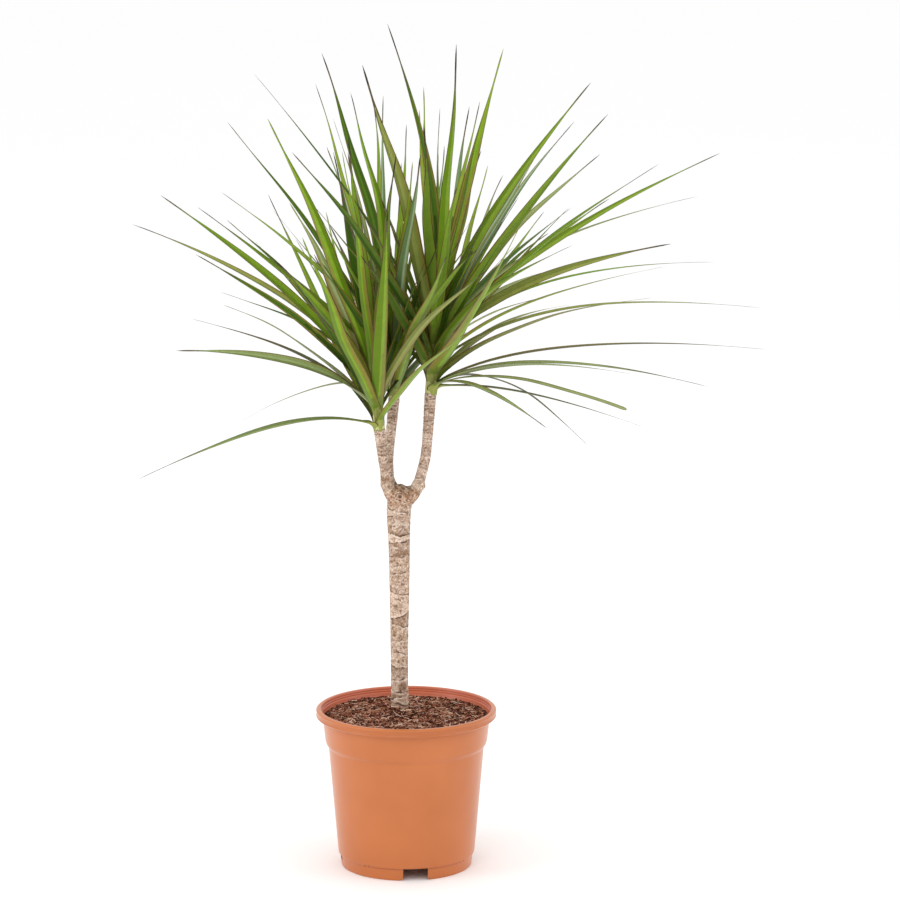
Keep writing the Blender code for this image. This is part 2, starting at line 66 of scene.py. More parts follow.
# Pot: radius and height of each turn of the wall, and how much each corner is rounded
POT_OUTSIDE = [(83.2, 151.5, 0.8), (85.0, 149.9, 0.9), (84.5, 148.7, 0.4), (84.4, 145.8, 0.4),
               (85.0, 144.9, 0.6), (83.7, 143.4, 0.8), (78.7, 142.9, 0.8), (76.4, 121.6, 2.0),
               (75.7, 118.6, 0.8), (74.2, 116.4, 0.8), (73.2, 114.6, 3.0), (64.4, 13.2, 0.6),
               (63.9, 12.0, 0.5), (62.7, 11.2, 0.6), (61.4, 0.0, 1.1)]
POT_INSIDE = [(80.2, 151.5, 0.9), (79.7, 149.6, 0.3), (80.0, 148.8, 0.3), (79.2, 148.0, 0.3),
              (79.5, 146.9, 0.3), (78.7, 146.1, 0.3), (78.3, 144.0, 0.3), (76.9, 141.2, 0.0),
              (74.6, 122.4, 2.0), (73.9, 119.4, 1.0), (72.4, 117.2, 1.0), (71.4, 115.4, 1.0),
              (62.3, 15.6, 1.0), (60.4, 14.0, 0.5)]
FOOT_INSIDE = [(59.4, 0.0, 0.3), (59.8, 12.0, 0.5)]
POT_STEPS = 144
NOTCH_WIDTH = 23.4
NOTCH_HEIGHT = 12.0
NOTCH_ROUND = 3.4
NOTCH_BEARING = 8.5
SLOT_SIZE = (9.0, 5.2)
SLOT_ROUND = 1.5
SLOT_HEIGHT = 8.8
SLOT_BEARING = -79.5
CUT_DEPTH = 14.0
DRAIN_COUNT = 6
DRAIN_RADIUS = 4.0
DRAIN_RING = 42.0
RIM_FACE = (83.4, 144.5, 149.6)              # least radius, and heights, of the rim's outer face, which is painted darker as shade
FOOT_LINES = [(-33.5, -3.5), (20.5, 52.5)]   # bearings that the painted shadow lines round the foot span
FOOT_PITS = [-37.5, -33.5, 53.0, 58.0]       # and of the small dark dots of painted shade at their ends
FOOT_LINE_HEIGHT = 11.6
FOOT_LINE_THICK = 0.55
FOOT_PIT_ENDS = [(-0.6, 0.8), (0.5, 0.6)]    # how far out each end lies, and its radius

# Pot: the two shades of each plastic, and the colours of the painted shadow lines and dots on the foot
POT_ORANGE = (0.475, 0.134, 0.031)
POT_WARM = (0.525, 0.153, 0.040)
POT_INNER = (0.56, 0.130, 0.060)
POT_INNER_WARM = (0.60, 0.145, 0.068)
# The rim's outer face: the same plastic painted darker, a painted shade
POT_RIM_PAINTED_SHADE = (0.43, 0.114, 0.025)
POT_RIM_WARM_PAINTED_SHADE = (0.465, 0.129, 0.031)
# Painted shadow of the foot's ledge, and the painted shade of the dots at its ends
POT_SHADOW_LINE = (0.36, 0.085, 0.021)
POT_PIT_SHADE = (0.14, 0.035, 0.016)

# Soil
SOIL_EDGE = 143.8
SOIL_TOP = 145.5
SOIL_RADIUS = 77.5
SOIL_GAP = 0.35                              # between the peat and the pot's wall
SOIL_GRID = (46, 150)                        # rings and sectors of its top
SOIL_LUMPS = [(11.0, 3.0, 2.2), (4.0, 9.0, 1.9)]     # size, seed and height
LUMPS_CALM = 4.0                             # this near the edge the lumps grow flatter,
LUMPS_LEFT = 0.25                            # down to this share
MOUND = (9.0, 7.0, 8.6)                      # foot, reach and height of the peat round the cane
MOUND_LUMPS = (6.0, 21.0)                    # size and seed
HOLLOW = (6.0, -14.0, 6.0, 3.2)              # x, y, reach and depth of the dip before it
SETTLED = 0.8
PEAT_DARK = (0.020, 0.008, 0.005)
PEAT_LIGHT = (0.13, 0.046, 0.026)

# Crumbs and fibres strewn on the soil
STREWN_RADIUS = 76.0                         # of the ground that the counts are meant for
STREWN_ABOVE = 140.0                         # where only the top of the peat lies
CRUMBS = 2300
CRUMB_SIZE = 1.3
CRUMB_REACH = 1.6
CRUMB_TONES = {"dark": ((0.030, 0.010, 0.006), (0.12, 0.042, 0.024)),
               "black": ((0.008, 0.004, 0.003), (0.03, 0.012, 0.009)),
               "brown": ((0.085, 0.027, 0.015), (0.21, 0.070, 0.038)),
               "red": ((0.17, 0.050, 0.028), (0.36, 0.125, 0.070)),
               "pale": ((0.30, 0.12, 0.066), (0.58, 0.30, 0.19))}
# Fibres: how many, length against the short ones, radius and seed
FIBRES = {"short": (2400, 1.0, 0.25, 13), "long": (520, 2.1, 0.34, 23)}
FIBRE_HALF = 3.0                             # half the chord of a short fibre,
FIBRE_BOW = 1.6                              # how far it bows,
FIBRE_REACH = 3.8                            # and how far from its middle it can reach
FIBRE_TONES = {"dark": ((0.06, 0.020, 0.011), (0.14, 0.046, 0.026)),
               "brown": ((0.28, 0.092, 0.055), (0.42, 0.155, 0.095)),
               "tan": ((0.46, 0.205, 0.115), (0.62, 0.32, 0.20)),
               "straw": ((0.72, 0.46, 0.32), (0.86, 0.68, 0.56))}

# Cane: x, y, z and radius of each station, from below
TRUNK = [(-6.0, 0.0, SOIL_TOP + CLEAR, 8.8), (-6.0, 0.0, 153.0, 8.3), (-6.2, 0.0, 180.0, 8.0),
         (-6.3, 0.0, 215.0, 8.3), (-6.1, 0.0, 262.0, 9.2), (-6.3, 0.0, 312.0, 10.1),
         (-6.5, 0.0, 340.0, 11.3), (-5.3, 0.0, 353.0, 12.0)]
KNUCKLE = (-3.8, 0.5, 356.0)
KNUCKLE_RADII = (15.5, 12.0, 10.0)
EYE_SCAR = (-5.0, -12.0, 356.0)
EYE_RADIUS = 5.6
STUBS = {
    "left": [(-7.0, -2.0, 350.0, 7.5), (-13.6, -3.6, 358.0, 6.6)],
    "middle": [(-6.0, 3.0, 352.0, 7.5), (-12.0, 6.6, 360.0, 6.4)],
    "right": [(1.0, 0.5, 352.0, 8.0), (8.2, 0.6, 359.5, 6.4)],
}
LIMBS = {
    "left": [(-17.6, -4.8, 367.4, 5.3), (-18.9, -5.4, 380.0, 5.0), (-20.8, -6.2, 392.0, 4.9),
             (-23.4, -7.4, 412.0, 5.1), (-24.4, -8.0, 420.0, 5.5)],
    "middle": [(-15.4, 8.7, 368.4, 5.1), (-16.4, 10.2, 380.0, 4.8), (-15.9, 13.4, 394.0, 4.7),
               (-13.4, 18.8, 418.0, 4.8), (-11.0, 23.0, 443.0, 5.4)],
    "right": [(12.7, 0.8, 369.0, 5.2), (15.2, 1.0, 378.0, 4.9), (18.4, 1.4, 392.0, 4.8),
              (20.8, 2.0, 418.0, 4.9), (23.2, 2.6, 452.0, 5.5)],
}

# Bark
BARK_GRAIN = 0.52
BURIED = 2.5                                 # how far the cane runs on into the peat
LINE_WIDTH = 0.72                            # of a ring's dark line
RIM_GAP = 1.5                                # from a line to the raised rim on its other side, which carries a painted highlight
SHADE_RUN = 3.4                              # reach of the shade beside a line
RING_WOBBLE = [(5.5, 7.0, 1.9), (1.7, 17.0, 0.55)]   # size, seed and height
RAGGED = (3.2, 27.0)                         # size and seed of the gaps in the lines
FINE_GRAIN = (0.9, 3.0)
LUMPS = (3.4, 41.0)
# How far each mark lifts the skin
RELIEF = {"line": -0.5, "shade": 0.2, "rim": 0.3, "fine": 0.09, "tone": 0.18, "lumps": 0.16}
# Rings of the trunk, measured in the photograph: height up the cane, bearing of the ring's low
# side, how far it dips there, strength, shade over it (or, below 0, under it), paleness above it
TRUNK_RINGS = [(10.5, 90, 2.3, 1.0, -0.9, 0.70), (17.0, -90, 3.0, 1.0, 0.5, 0.40),
               (23.5, 60, 2.2, 1.1, 0.35, 0.85), (33.5, -120, 1.5, 0.8, 0.35, 0.55),
               (45.5, 90, 2.2, 0.95, -0.9, 0.80), (59.8, 90, 2.0, 0.65, 0.25, 0.90),
               (72.0, -60, 1.0, 0.5, 0.3, 0.70), (86.4, -90, -3.2, 0.95, 0.35, 0.30),
               (95.0, -90, 5.4, 1.0, -0.4, 0.95), (116.6, 90, 2.0, 0.9, 0.35, 0.55),
               (136.7, 90, -1.5, 0.75, 0.35, 0.70), (152.8, -90, 1.0, 0.6, 0.5, 0.15),
               (166.6, 90, -1.0, 0.8, -0.3, 0.95), (174.4, 0, 1.4, 1.0, 0.5, 0.50),
               (185.2, -90, -1.0, 0.6, 0.2, 0.75), (192.6, -90, 3.5, 0.85, -0.3, 0.85),
               (196.5, 90, 1.0, 1.0, 0.2, 0.80), (201.5, -90, -1.0, 0.5, 0.2, 0.70)]
# Rings of the limbs: spacing at the foot and the top, greatest dip, strengths there, first seed
LIMB_RINGS = ((4.4, 2.6), 1.4, (0.55, 0.6), 31)
# Dark spots on the trunk's front: x, z, radius and strength
SPOTS = [(-3.5, 173.6, 4.6, 0.85), (-4.0, 156.0, 4.0, 0.7), (-14.0, 293.3, 1.2, 1.0),
         (-8.4, 292.3, 1.1, 1.0), (-9.5, 250.5, 3.2, 0.7), (-5.0, 251.0, 2.2, 0.6),
         (-8.0, 207.0, 1.8, 0.9), (-2.9, 198.5, 1.2, 0.9), (-2.9, 193.6, 1.2, 0.9),
         (-9.0, 300.0, 3.5, 0.5), (-4.5, 305.0, 3.0, 0.5), (-11.0, 223.0, 1.4, 0.8)]
# Swellings, such as the collars at the feet of the limbs: place, reach and height
BUMPS = [((-20.5, -4.8, 366.5), 2.8, 1.8), ((15.5, 0.8, 364.0), 2.8, 2.0),
         ((-14.5, -6.0, 352.0), 3.0, 0.7)]
SADDLE = (0.5, 3.0, 1.8)                     # x, half width and depth of the dip between the limbs
KNUCKLE_RUN = 9.0                            # over which the knuckle's looks fade, up and down
CREASE = (1.13, 0.09)                        # painted shade round the limbs' feet, in shares of the knuckle's radii
CREASE_RUN = 14.0
EYE_RING = (4.2, 0.75, 0.8)                  # radius, width and strength
EYE_PIT = (1.7, 1.3)                         # radius and strength
EYE_REACH = 6.5

# Bark colours: the fields between the rings run from brown to tan
FIELD_BROWN = (0.32, 0.195, 0.118)
FIELD_TAN = (0.60, 0.435, 0.325)
CLOUD_PINK = (0.64, 0.50, 0.42)
STREAK_BROWN = (0.27, 0.155, 0.092)
# Limbs: paler bark of their own, and partly a painted light against the shade of the heads over them
LIMB_TAN_AND_PAINTED_LIGHT = (0.70, 0.515, 0.41)
KNUCKLE_BROWN = (0.42, 0.235, 0.135)
KNUCKLE_DARK = (0.16, 0.082, 0.045)
FLECK_PALE = (0.84, 0.73, 0.63)
SHADE_BROWN = (0.185, 0.098, 0.054)
SPECKLE_BROWN = (0.155, 0.078, 0.045)
# Painted highlight on the raised rim beside each ring line
RIM_PAINTED_HIGHLIGHT = (0.80, 0.67, 0.56)
LINE_BROWN = (0.100, 0.050, 0.028)

# Heads: the leafy stem above each limb
HEAD_TOPS = {"left": (-29.5, -9.5, 474.0), "middle": (-10.5, 25.0, 498.0), "right": (26.0, 3.0, 512.0)}
WHORLS = {"left": 5, "middle": 5, "right": 6}
LOWEST_SHARE = 1.7
STEM_FOOT = 5.6
STEM_SWELL = 8.4
STEM_TIP = 4.4
STEM_SIDES = 12
STEM_DRAW = 0.4

# Leaves, by the same rule as the solids
LEAF_LENGTHS = (322.0, 350.0)
LEAF_THICK = 3.6
LEAF_STATIONS = 8
TIP_SHARE = 0.07
PULL_AT = 0.32
ROOT_MARGIN = 2.5
ROOT_SHARE = 0.2
SHOULDER = 2.0
SHOULDER_RISE = 2.4
EYE = (42.0, -4000.0, 1186.0)                # from which the solids' leaf tips were placed
# Leaves whose tips show in the photograph, by how far they come forwards: x and z of the tip in
# the plane y = 0, how high the leaf arches, and its width
SEEN_LEAVES = {
    "left": {
        "front": [(-212, 492, 19, 12), (-126, 708, 10, 15), (-95, 598, -4, 15), (-16, 624, -4, 16),
                  (76, 568, 14, 10), (57, 510, 6, 9)],
        "near": [(-250, 370, 19, 9), (-225, 637, 13, 12)],
        "side": [(-251, 610, 23, 11)],
        "far": [(-198, 522, 14, 8), (-193, 582, 14, 9)],
        "back": [(-126, 638, -5, 9), (-20, 729, 2, 14), (-73, 622, 0, 11)],
    },
    "middle": {
        "front": [(38, 581, 4, 14), (14, 675, 12, 13), (-50, 732, 24, 12)],
        "side": [(-191, 626, 5, 10)],
        "far": [(-171, 547, 13, 8), (-163, 705, 8, 10)],
        "back": [(-153, 425, 18, 8), (-76, 768, 19, 12), (-82, 740, 10, 8), (-72, 682, 12, 10)],
    },
    "right": {
        "front": [(-39, 757, 13, 16), (47, 776, -15, 14), (233, 666, 14, 12), (241, 571, 17, 10),
                  (131, 419, 14, 11), (107, 611, -8, 17), (-104, 677, 12, 10)],
        "near": [(186, 712, 9, 13), (245, 592, 22, 13), (281, 458, 20, 11), (205, 436, 15, 12)],
        "side": [(-16, 795, 21, 13), (90, 772, 5, 15), (289, 676, 18, 11), (336, 493, 20, 10),
                 (170, 741, 14, 14), (285, 575, 30, 10)],
        "far": [(330, 532, 29, 9), (269, 636, 30, 9), (224, 419, 10, 8), (-138, 749, 12, 9)],
        "back": [(155, 705, 16, 10), (179, 675, 22, 9), (210, 470, 14, 8), (170, 402, 28, 8),
                 (152, 535, 18, 9), (141, 569, 24, 8), (132, 602, 18, 8), (128, 622, 8, 8),
                 (90, 656, 8, 9), (76, 665, -4, 10), (61, 691, 4, 9), (59, 719, 3, 11),
                 (36, 683, 6, 10), (32, 718, -8, 9), (17, 737, 6, 11), (-169, 640, 8, 9)],
    },
}
SIDES = {"front": -1.0, "near": -0.5, "side": 0.0, "far": 0.5, "back": 1.0}
LEAN_TO_VIEW = 0.45
LEAN_SPREAD = 0.30
TURN_BY = 0.4
SWELLING = 0.25
FREE_FROM = 3
FILL = {"left": 16, "middle": 14, "right": 14}
FILL_BACK = {"left": 196.0, "middle": 180.0, "right": 164.0}
FILL_FRONT = {"left": -14.0, "middle": 0.0, "right": 14.0}
FILL_SPREAD = 27.0
FILL_RISE = (4.0, 72.0)
FILL_FRONT_RISE = 30.0
FILL_LENGTHS = (320.0, 250.0)
FILL_LENGTH_SPREAD = 18.0
FILL_WIDTHS = (9.0, 14.0)
FILL_ARCH = 0.06
GOLDEN_ANGLE = 137.508
NUDGES = [0, 14, -14, 28, -28, 42, -42, 60, -60, 80, -80]

# What the finer blades add
SHEATH_DROP = 11.0                # how far down the stem a leaf's sheath runs
SHEATH_STATIONS = 7
CLASP_RUN = 9.0                   # how far past its root a leaf still hugs the stem
CLASP_RADII = (2.5, 0.39)         # of the sheath: this, and this share of the solids' stem
FOOT_RUN = 7.0                    # over which a sheath narrows to its lower end,
FOOT_SHARE = 0.3                  # down to this share of its width
SLIM_STEM = [(0.0, 5.3), (0.08, 5.2), (0.3, 4.6), (0.6, 3.6), (1.0, 2.2)]     # share and radius
BOW_STATIONS = 30
BOW_FROM = 0.05                   # share of the bow at which the sheath runs into it
GRIP = 0.45                       # how far the sheath's ends hold their way
HAIR_TIP = 0.13                   # share of the width left in the hair that ends it,
HAIR_FROM = 0.93                  # and where along the leaf that begins
FOLD = (0.20, 0.24, 0.50)         # how far the sides rise: all along, at the root, where it clasps
CUT_TIPS = [(205, 436)]           # a leaf whose end was cut off blunt,
CUT_WIDTHS = (0.42, 0.12)         # its width at the root, and how much it gains by the tip
CUT_AWAY = 1000.0                 # which counts as this much longer, so its end has no brown tip
YOUNG = 10                        # young spears in the heart of each head
YOUNG_LENGTHS = (95.0, 235.0)
YOUNG_RISE = (50.0, 84.0)
YOUNG_WIDTHS = (6.0, 11.5)
YOUNG_STAND = (0.45, 0.95)        # where on the head's stem they sit
INNER = 7                         # leaves that fill each head's lower heart
INNER_LENGTHS = (150.0, 250.0)
INNER_RISE = (34.0, 68.0)
INNER_WIDTHS = (8.0, 12.0)
INNER_STAND = (0.2, 0.7)
WAVE = 0.0060                     # of the length, how far a blade wanders to its sides
TWIST = 0.35                      # how far a blade turns about its own line, at most
# How far these blades turn about their line, as the photograph shows their faces or edges
TURNS = {(281, 458): -0.10, (131, 419): -0.14, (-16, 624): -0.40, (-95, 598): 0.10,
         (336, 493): -0.02, (330, 532): -0.10, (269, 636): -0.08, (224, 419): -0.17,
         (155, 705): -0.05, (285, 575): -0.05, (241, 571): 0.0, (170, 402): -0.16,
         (170, 741): -0.90, (-198, 522): 0.05, (-163, 705): 0.08, (-138, 749): 0.06,
         (-169, 640): 0.05, (-171, 547): 0.08, (-126, 708): -0.20, (-104, 677): -0.40,
         (-225, 637): 1.15, (-191, 626): 0.60, (-212, 492): 1.10, (76, 568): 0.30,
         (57, 510): 0.0, (-39, 757): -0.10, (47, 776): -0.25, (186, 712): 0.60,
         (233, 666): 0.10, (245, 592): -1.05, (90, 772): -1.10, (14, 675): -0.30,
         (38, 581): -0.15}
TURNED_BY = 0.35                  # where along them that turn is complete
SLIMMER = 0.88                    # of the solids' width
TONES = ["bright", "mid", "deep", "silver", "olive", "grey", "dusky"]
TONES_OF_LEAVES = {(-39, 757): "olive", (-20, 729): "silver", (14, 675): "silver",
                   (38, 581): "mid", (-16, 624): "bright", (-95, 598): "bright", (107, 611): "bright",
                   (-126, 708): "bright", (245, 592): "olive", (90, 772): "bright", (76, 568): "olive",
                   (47, 776): "bright", (-212, 492): "grey", (-72, 682): "silver", (-250, 370): "grey",
                   (205, 436): "grey", (131, 419): "grey", (224, 419): "dusky", (170, 402): "dusky",
                   (-198, 522): "dusky", (336, 493): "dusky", (-104, 677): "deep", (-193, 582): "deep",
                   (-225, 637): "mid", (-191, 626): "mid", (186, 712): "mid", (170, 741): "mid"}
# A leaf's lot deals out its flank and lane: a wide brown flank for the first three, then slim ones
LOTS_OF_LEAVES = {(-95, 598): 0.586, (-16, 624): 0.744, (107, 611): 0.30, (-225, 637): 0.136,
                  (-191, 626): 0.564, (-212, 492): 0.107, (-104, 677): 0.564, (186, 712): 0.136}
# Leaves wider or slimmer than the rule has them, which don't wander to their sides either
WIDTH_SHARES = {(107, 611): 1.45, (-16, 624): 1.1, (131, 419): 0.85}
LOW_STEEPNESS = 0.25              # a leaf less steep than this is a low one,
BEHIND = 60.0                     # and one whose tip lies this far behind its root a back one
# Tones dealt to the other leaves: each holds for draws under its number
LOW_TONES = [("olive", 0.3), ("grey", 0.75), ("mid", 1.0)]
# Leaves behind draw darker greens as painted shade, those before draw brighter ones as painted light
BACK_TONES_PAINTED_SHADE = [("deep", 0.4), ("mid", 0.7), ("grey", 0.9), ("silver", 1.0)]
FRONT_TONES_PAINTED_LIGHT = [("bright", 0.4), ("mid", 0.7), ("deep", 0.85), ("olive", 1.0)]

# Leaf colours of each tone, then of the parts of a blade
# The pale tone with sheen: a paler green of its own, and a painted sheen in its bluish green and whitish
# lane
LEAF_GREENS = {"bright": (0.180, 0.315, 0.012), "mid": (0.175, 0.292, 0.018),
               "deep": (0.048, 0.114, 0.007), "silver": (0.145, 0.240, 0.085),
               "olive": (0.258, 0.288, 0.060), "grey": (0.228, 0.292, 0.098),
               "dusky": (0.125, 0.120, 0.062)}
# Lanes of each tone: a paler stripe of the blade, and partly a painted highlight on its lit half
LANE_AND_HIGHLIGHT_TINTS = {"bright": (0.270, 0.430, 0.030), "mid": (0.260, 0.350, 0.045),
         "deep": (0.110, 0.190, 0.020), "silver": (0.420, 0.520, 0.370),
         "olive": (0.330, 0.370, 0.110), "grey": (0.360, 0.420, 0.190),
         "dusky": (0.190, 0.200, 0.090)}
SHINE = {"bright": 0.07, "mid": 0.07, "deep": 0.05, "silver": 0.22, "olive": 0.10, "grey": 0.12,
         "dusky": 0.07}
SKIN_DEEP = (0.03, 0.06, 0.01)
UNDER_PALE = (0.215, 0.290, 0.060)
SHADE_GREEN = (0.030, 0.055, 0.004)
FLANK_BROWN = (0.258, 0.200, 0.040)
STEM_PALE = (0.56, 0.55, 0.25)
LANE_STRENGTH = 0.48
INSIDE_TO = 0.85                  # share of the half width within which heart and base lie,
MARGIN_FROM = 0.9                 # and from which the margin runs
# Parts of a blade, each over those before it: the tint it takes, and how strongly. The lane is a
# pale stripe, partly a painted highlight on the lit half, in a tint of each tone's own, and the heart is
# a painted shade that darkens the feet of some tones
PARTS = ("under", "shade", "lane", "flank", "outer_flank", "heart")
PART_TINTS = {"under": (UNDER_PALE, 0.30), "shade": (SHADE_GREEN, 0.33), "flank": (FLANK_BROWN, 0.50),
              "outer_flank": (FLANK_BROWN, 0.88), "heart": (SHADE_GREEN, 0.65)}
# Tones whose blades get the heart's painted shade at their feet
SHADED_HEART_TONES = ("mid", "deep", "silver")
# Parts that look alike on every blade, over all the others: colour and roughness
SHARED_PARTS = {"base": ((0.165, 0.235, 0.028), 0.38), "sheath": ((0.30, 0.33, 0.085), 0.5),
                "margin": ((0.130, 0.080, 0.024), 0.5), "margin_upper": ((0.075, 0.065, 0.018), 0.5),
                "tip_brown": ((0.115, 0.090, 0.046), 0.55), "tip_dark": ((0.045, 0.033, 0.026), 0.6)}

# Studio, in metres and watts: name, place, width and height, and power of each soft box
SOFT_BOXES = [("left_softbox", (-1.7, -0.7, 1.1), (0.9, 1.8), 9),
              ("right_softbox", (1.8, -0.5, 1.0), (0.9, 1.8), 6),
              ("front_softbox", (-0.5, -2.6, 2.2), (1.6, 1.2), 12),
              ("top_softbox", (0.1, 0.3, 2.6), (1.6, 1.6), 9)]
LIT_POINT = (0.0, 0.0, 0.4)
FLOOR_REACH = 30.0
FLOOR_PALE = (0.98, 0.98, 0.98)
FLOOR_WHITE = (0.99, 0.99, 0.99)


# Node trees

class Socket:
    """A value in a node tree: sums and products of it add Math nodes."""

    def __init__(self, tree, socket):
        self.tree = tree
        self.socket = socket

    def maths(self, operation, *terms):
        made = self.tree.node("ShaderNodeMath", {"operation": operation}, dict(enumerate(terms)))
        return made[0]

    def __add__(self, other):
        return self.maths("ADD", self, other)

    def __sub__(self, other):
        return self.maths("SUBTRACT", self, other)

    def __mul__(self, other):
        return self.maths("MULTIPLY", self, other)

    def __truediv__(self, other):
        return self.maths("DIVIDE", self, other)

    def __pow__(self, other):
        return self.maths("POWER", self, other)

    def __rsub__(self, other):
        return self.maths("SUBTRACT", other, self)

    def __gt__(self, other):
        return self.maths("GREATER_THAN", self, other)

    def __lt__(self, other):
        return self.maths("LESS_THAN", self, other)

    def __abs__(self):
        return self.maths("ABSOLUTE", self)

    def fraction(self):
        return self.maths("FRACT", self)

    __radd__ = __add__
    __rmul__ = __mul__

    def ramp(self, low, high):
        """Rises from 0 at low to 1 at high, and stays between them."""
        return self.tree.node("ShaderNodeMapRange", {}, {0: self, 1: low, 2: high})[0]


class Outputs:
    """A node's outputs by number or name, each as a Socket."""

    def __init__(self, tree, node):
        self.tree = tree
        self.node = node

    def __getitem__(self, key):
        return Socket(self.tree, self.node.outputs[key])


class Tree:
    """A node tree whose nodes all come from one method."""

    def __init__(self, nodes):
        self.nodes = nodes

    def node(self, kind, settings=None, inputs=None):
        made = self.nodes.nodes.new(kind)
        for name, value in (settings or {}).items():
            setattr(made, name, value)
        for key, value in (inputs or {}).items():
            self.put(made.inputs[key], value)
        return Outputs(self, made)

    def put(self, socket, value):
        if isinstance(value, Socket):
            self.nodes.links.new(value.socket, socket)
        else:
            socket.default_value = value


class Finish(Tree):
    """A material whose Principled shader takes its looks from nodes on Object coordinates."""

    def __init__(self, name, **constants):
        self.made = bpy.data.materials.new(name)
        self.made.use_nodes = True
        super().__init__(self.made.node_tree)
        self.shader = self.made.node_tree.nodes["Principled BSDF"]
        for socket, value in constants.items():
            self.shader.inputs[socket.replace("_", " ")].default_value = value
        self.place = self.node("ShaderNodeTexCoord")["Object"]

    def set(self, socket, value):
        self.put(self.shader.inputs[socket], value)

    def stretched(self, x, y, z):
        return self.node("ShaderNodeMapping", {}, {"Vector": self.place, "Scale": (x, y, z)})[0]

    def cloud(self, size_mm, detail=3.0, roughness=0.55, place=None):
        """Noise whose lumps are about that many millimetres across."""
        return self.node("ShaderNodeTexNoise", {"noise_dimensions": "3D"},
                         {"Vector": place or self.place, "Scale": 1000.0 / size_mm,
                          "Detail": detail, "Roughness": roughness})["Fac"]

    def mix(self, share, low, high):
        low, high = ((*c, 1.0) if isinstance(c, tuple) and len(c) == 3 else c for c in (low, high))
        made = self.node("ShaderNodeMix", {"data_type": "RGBA"}, {0: share, 6: low, 7: high})
        return made[2]

    def attribute(self, name):
        return self.node("ShaderNodeAttribute", {"attribute_name": name})["Fac"]

    def bump(self, height, strength, depth_mm):
        normal = self.node("ShaderNodeBump", {}, {"Height": height, "Strength": strength,
                                                  "Distance": depth_mm * MM})["Normal"]
        self.set("Normal", normal)


class Shape(Tree):
    """A Geometry Nodes tree with named inputs."""

    def __init__(self, name):
        super().__init__(bpy.data.node_groups.new(name, "GeometryNodeTree"))
        face = self.nodes.interface
        face.new_socket("Geometry", in_out="INPUT", socket_type="NodeSocketGeometry")
        face.new_socket("Geometry", in_out="OUTPUT", socket_type="NodeSocketGeometry")
        self.given = self.nodes.nodes.new("NodeGroupInput")
        self.result = self.nodes.nodes.new("NodeGroupOutput")
        self.named = {}

    def wants(self, name, value, kind="NodeSocketFloat"):
        socket = self.nodes.interface.new_socket(name, in_out="INPUT", socket_type=kind)
        self.named[name] = (socket.identifier, value)
        return Socket(self, self.given.outputs[name])

    def geometry(self):
        return Socket(self, self.given.outputs["Geometry"])

    def attribute(self, name, kind="FLOAT"):
        return self.node("GeometryNodeInputNamedAttribute", {"data_type": kind}, {"Name": name})[0]

    def finish(self, geometry, materials):
        """Realizes the instances and deals out the materials: pairs of (material, selection)."""
        geometry = self.node("GeometryNodeRealizeInstances", {}, {0: geometry})[0]
        for material, chosen in materials:
            inputs = {"Geometry": geometry, "Material": material}
            if chosen is not None:
                inputs["Selection"] = chosen
            geometry = self.node("GeometryNodeSetMaterial", {}, inputs)[0]
        self.put(self.result.inputs[0], geometry)

    def grown_on(self, thing):
        """Runs the tree on an object and leaves the result there as a plain mesh."""
        modifier = thing.modifiers.new("shape", "NODES")
        modifier.node_group = self.nodes
        for identifier, value in self.named.values():
            modifier[identifier] = value
        return settled(thing)


# Meshes

def mesh_object(name, mesh):
    made = bpy.data.objects.new(name, mesh)
    bpy.context.scene.collection.objects.link(made)
    return made


def settled(thing):
    """The object's evaluated shape as a plain mesh in an object of the same name."""
    view = bpy.context.evaluated_depsgraph_get()
    mesh = bpy.data.meshes.new_from_object(thing.evaluated_get(view))
    name = thing.name
    bpy.data.objects.remove(thing, do_unlink=True)
    mesh.name = name
    return mesh_object(name, mesh)


def welded(thing, distance_mm=0.01):
    bm = bmesh.new()
    bm.from_mesh(thing.data)
    bmesh.ops.remove_doubles(bm, verts=bm.verts, dist=distance_mm * MM)
    bmesh.ops.recalc_face_normals(bm, faces=bm.faces)
    bm.to_mesh(thing.data)
    bm.free()
    return thing


def shaded(thing, angle=35.0):
    thing.data.shade_smooth()
    thing.data.set_sharp_from_angle(angle=math.radians(angle))
    return thing


def vertex_rows(mesh, name):
    """A vector of each vertex, such as its place, as rows."""
    flat = np.empty(len(mesh.vertices) * 3, np.float32)
    mesh.vertices.foreach_get(name, flat)
    return flat.reshape(-1, 3)


def placed(thing):
    """Moves a mesh drawn about the pot's axis to where the frame has the pot."""
    points = vertex_rows(thing.data, "co") + np.array(AXIS, np.float32)
    thing.data.vertices.foreach_set("co", points.ravel())
    thing.data.update()
    return thing


def on_plant(thing, slot, *nodes):
    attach(thing, "root")
    if nodes:
        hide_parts(*nodes)


def bearing_vector(degrees):
    """Level direction, counted from the front (-Y) round to the right (+X)."""
    angle = math.radians(degrees)
    return Vector((math.sin(angle), -math.cos(angle), 0.0))


def rounded(profile, steps=4):
    """A profile of (radius, height, rounding) with an arc of a few points at each corner."""
    points = []
    for i, (r, z, bend) in enumerate(profile):
        here = Vector((r, z))
        if bend == 0 or i in (0, len(profile) - 1):
            points.append((r, z))
            continue
        before = Vector(profile[i - 1][:2]) - here
        after = Vector(profile[i + 1][:2]) - here
        reach = min(bend, before.length * 0.45, after.length * 0.45)
        low, high = here + before.normalized() * reach, here + after.normalized() * reach
        for step in range(steps + 1):
            t = step / steps
            spot = low * (1 - t) ** 2 + here * 2 * t * (1 - t) + high * t * t
            points.append((spot.x, spot.y))
    return points


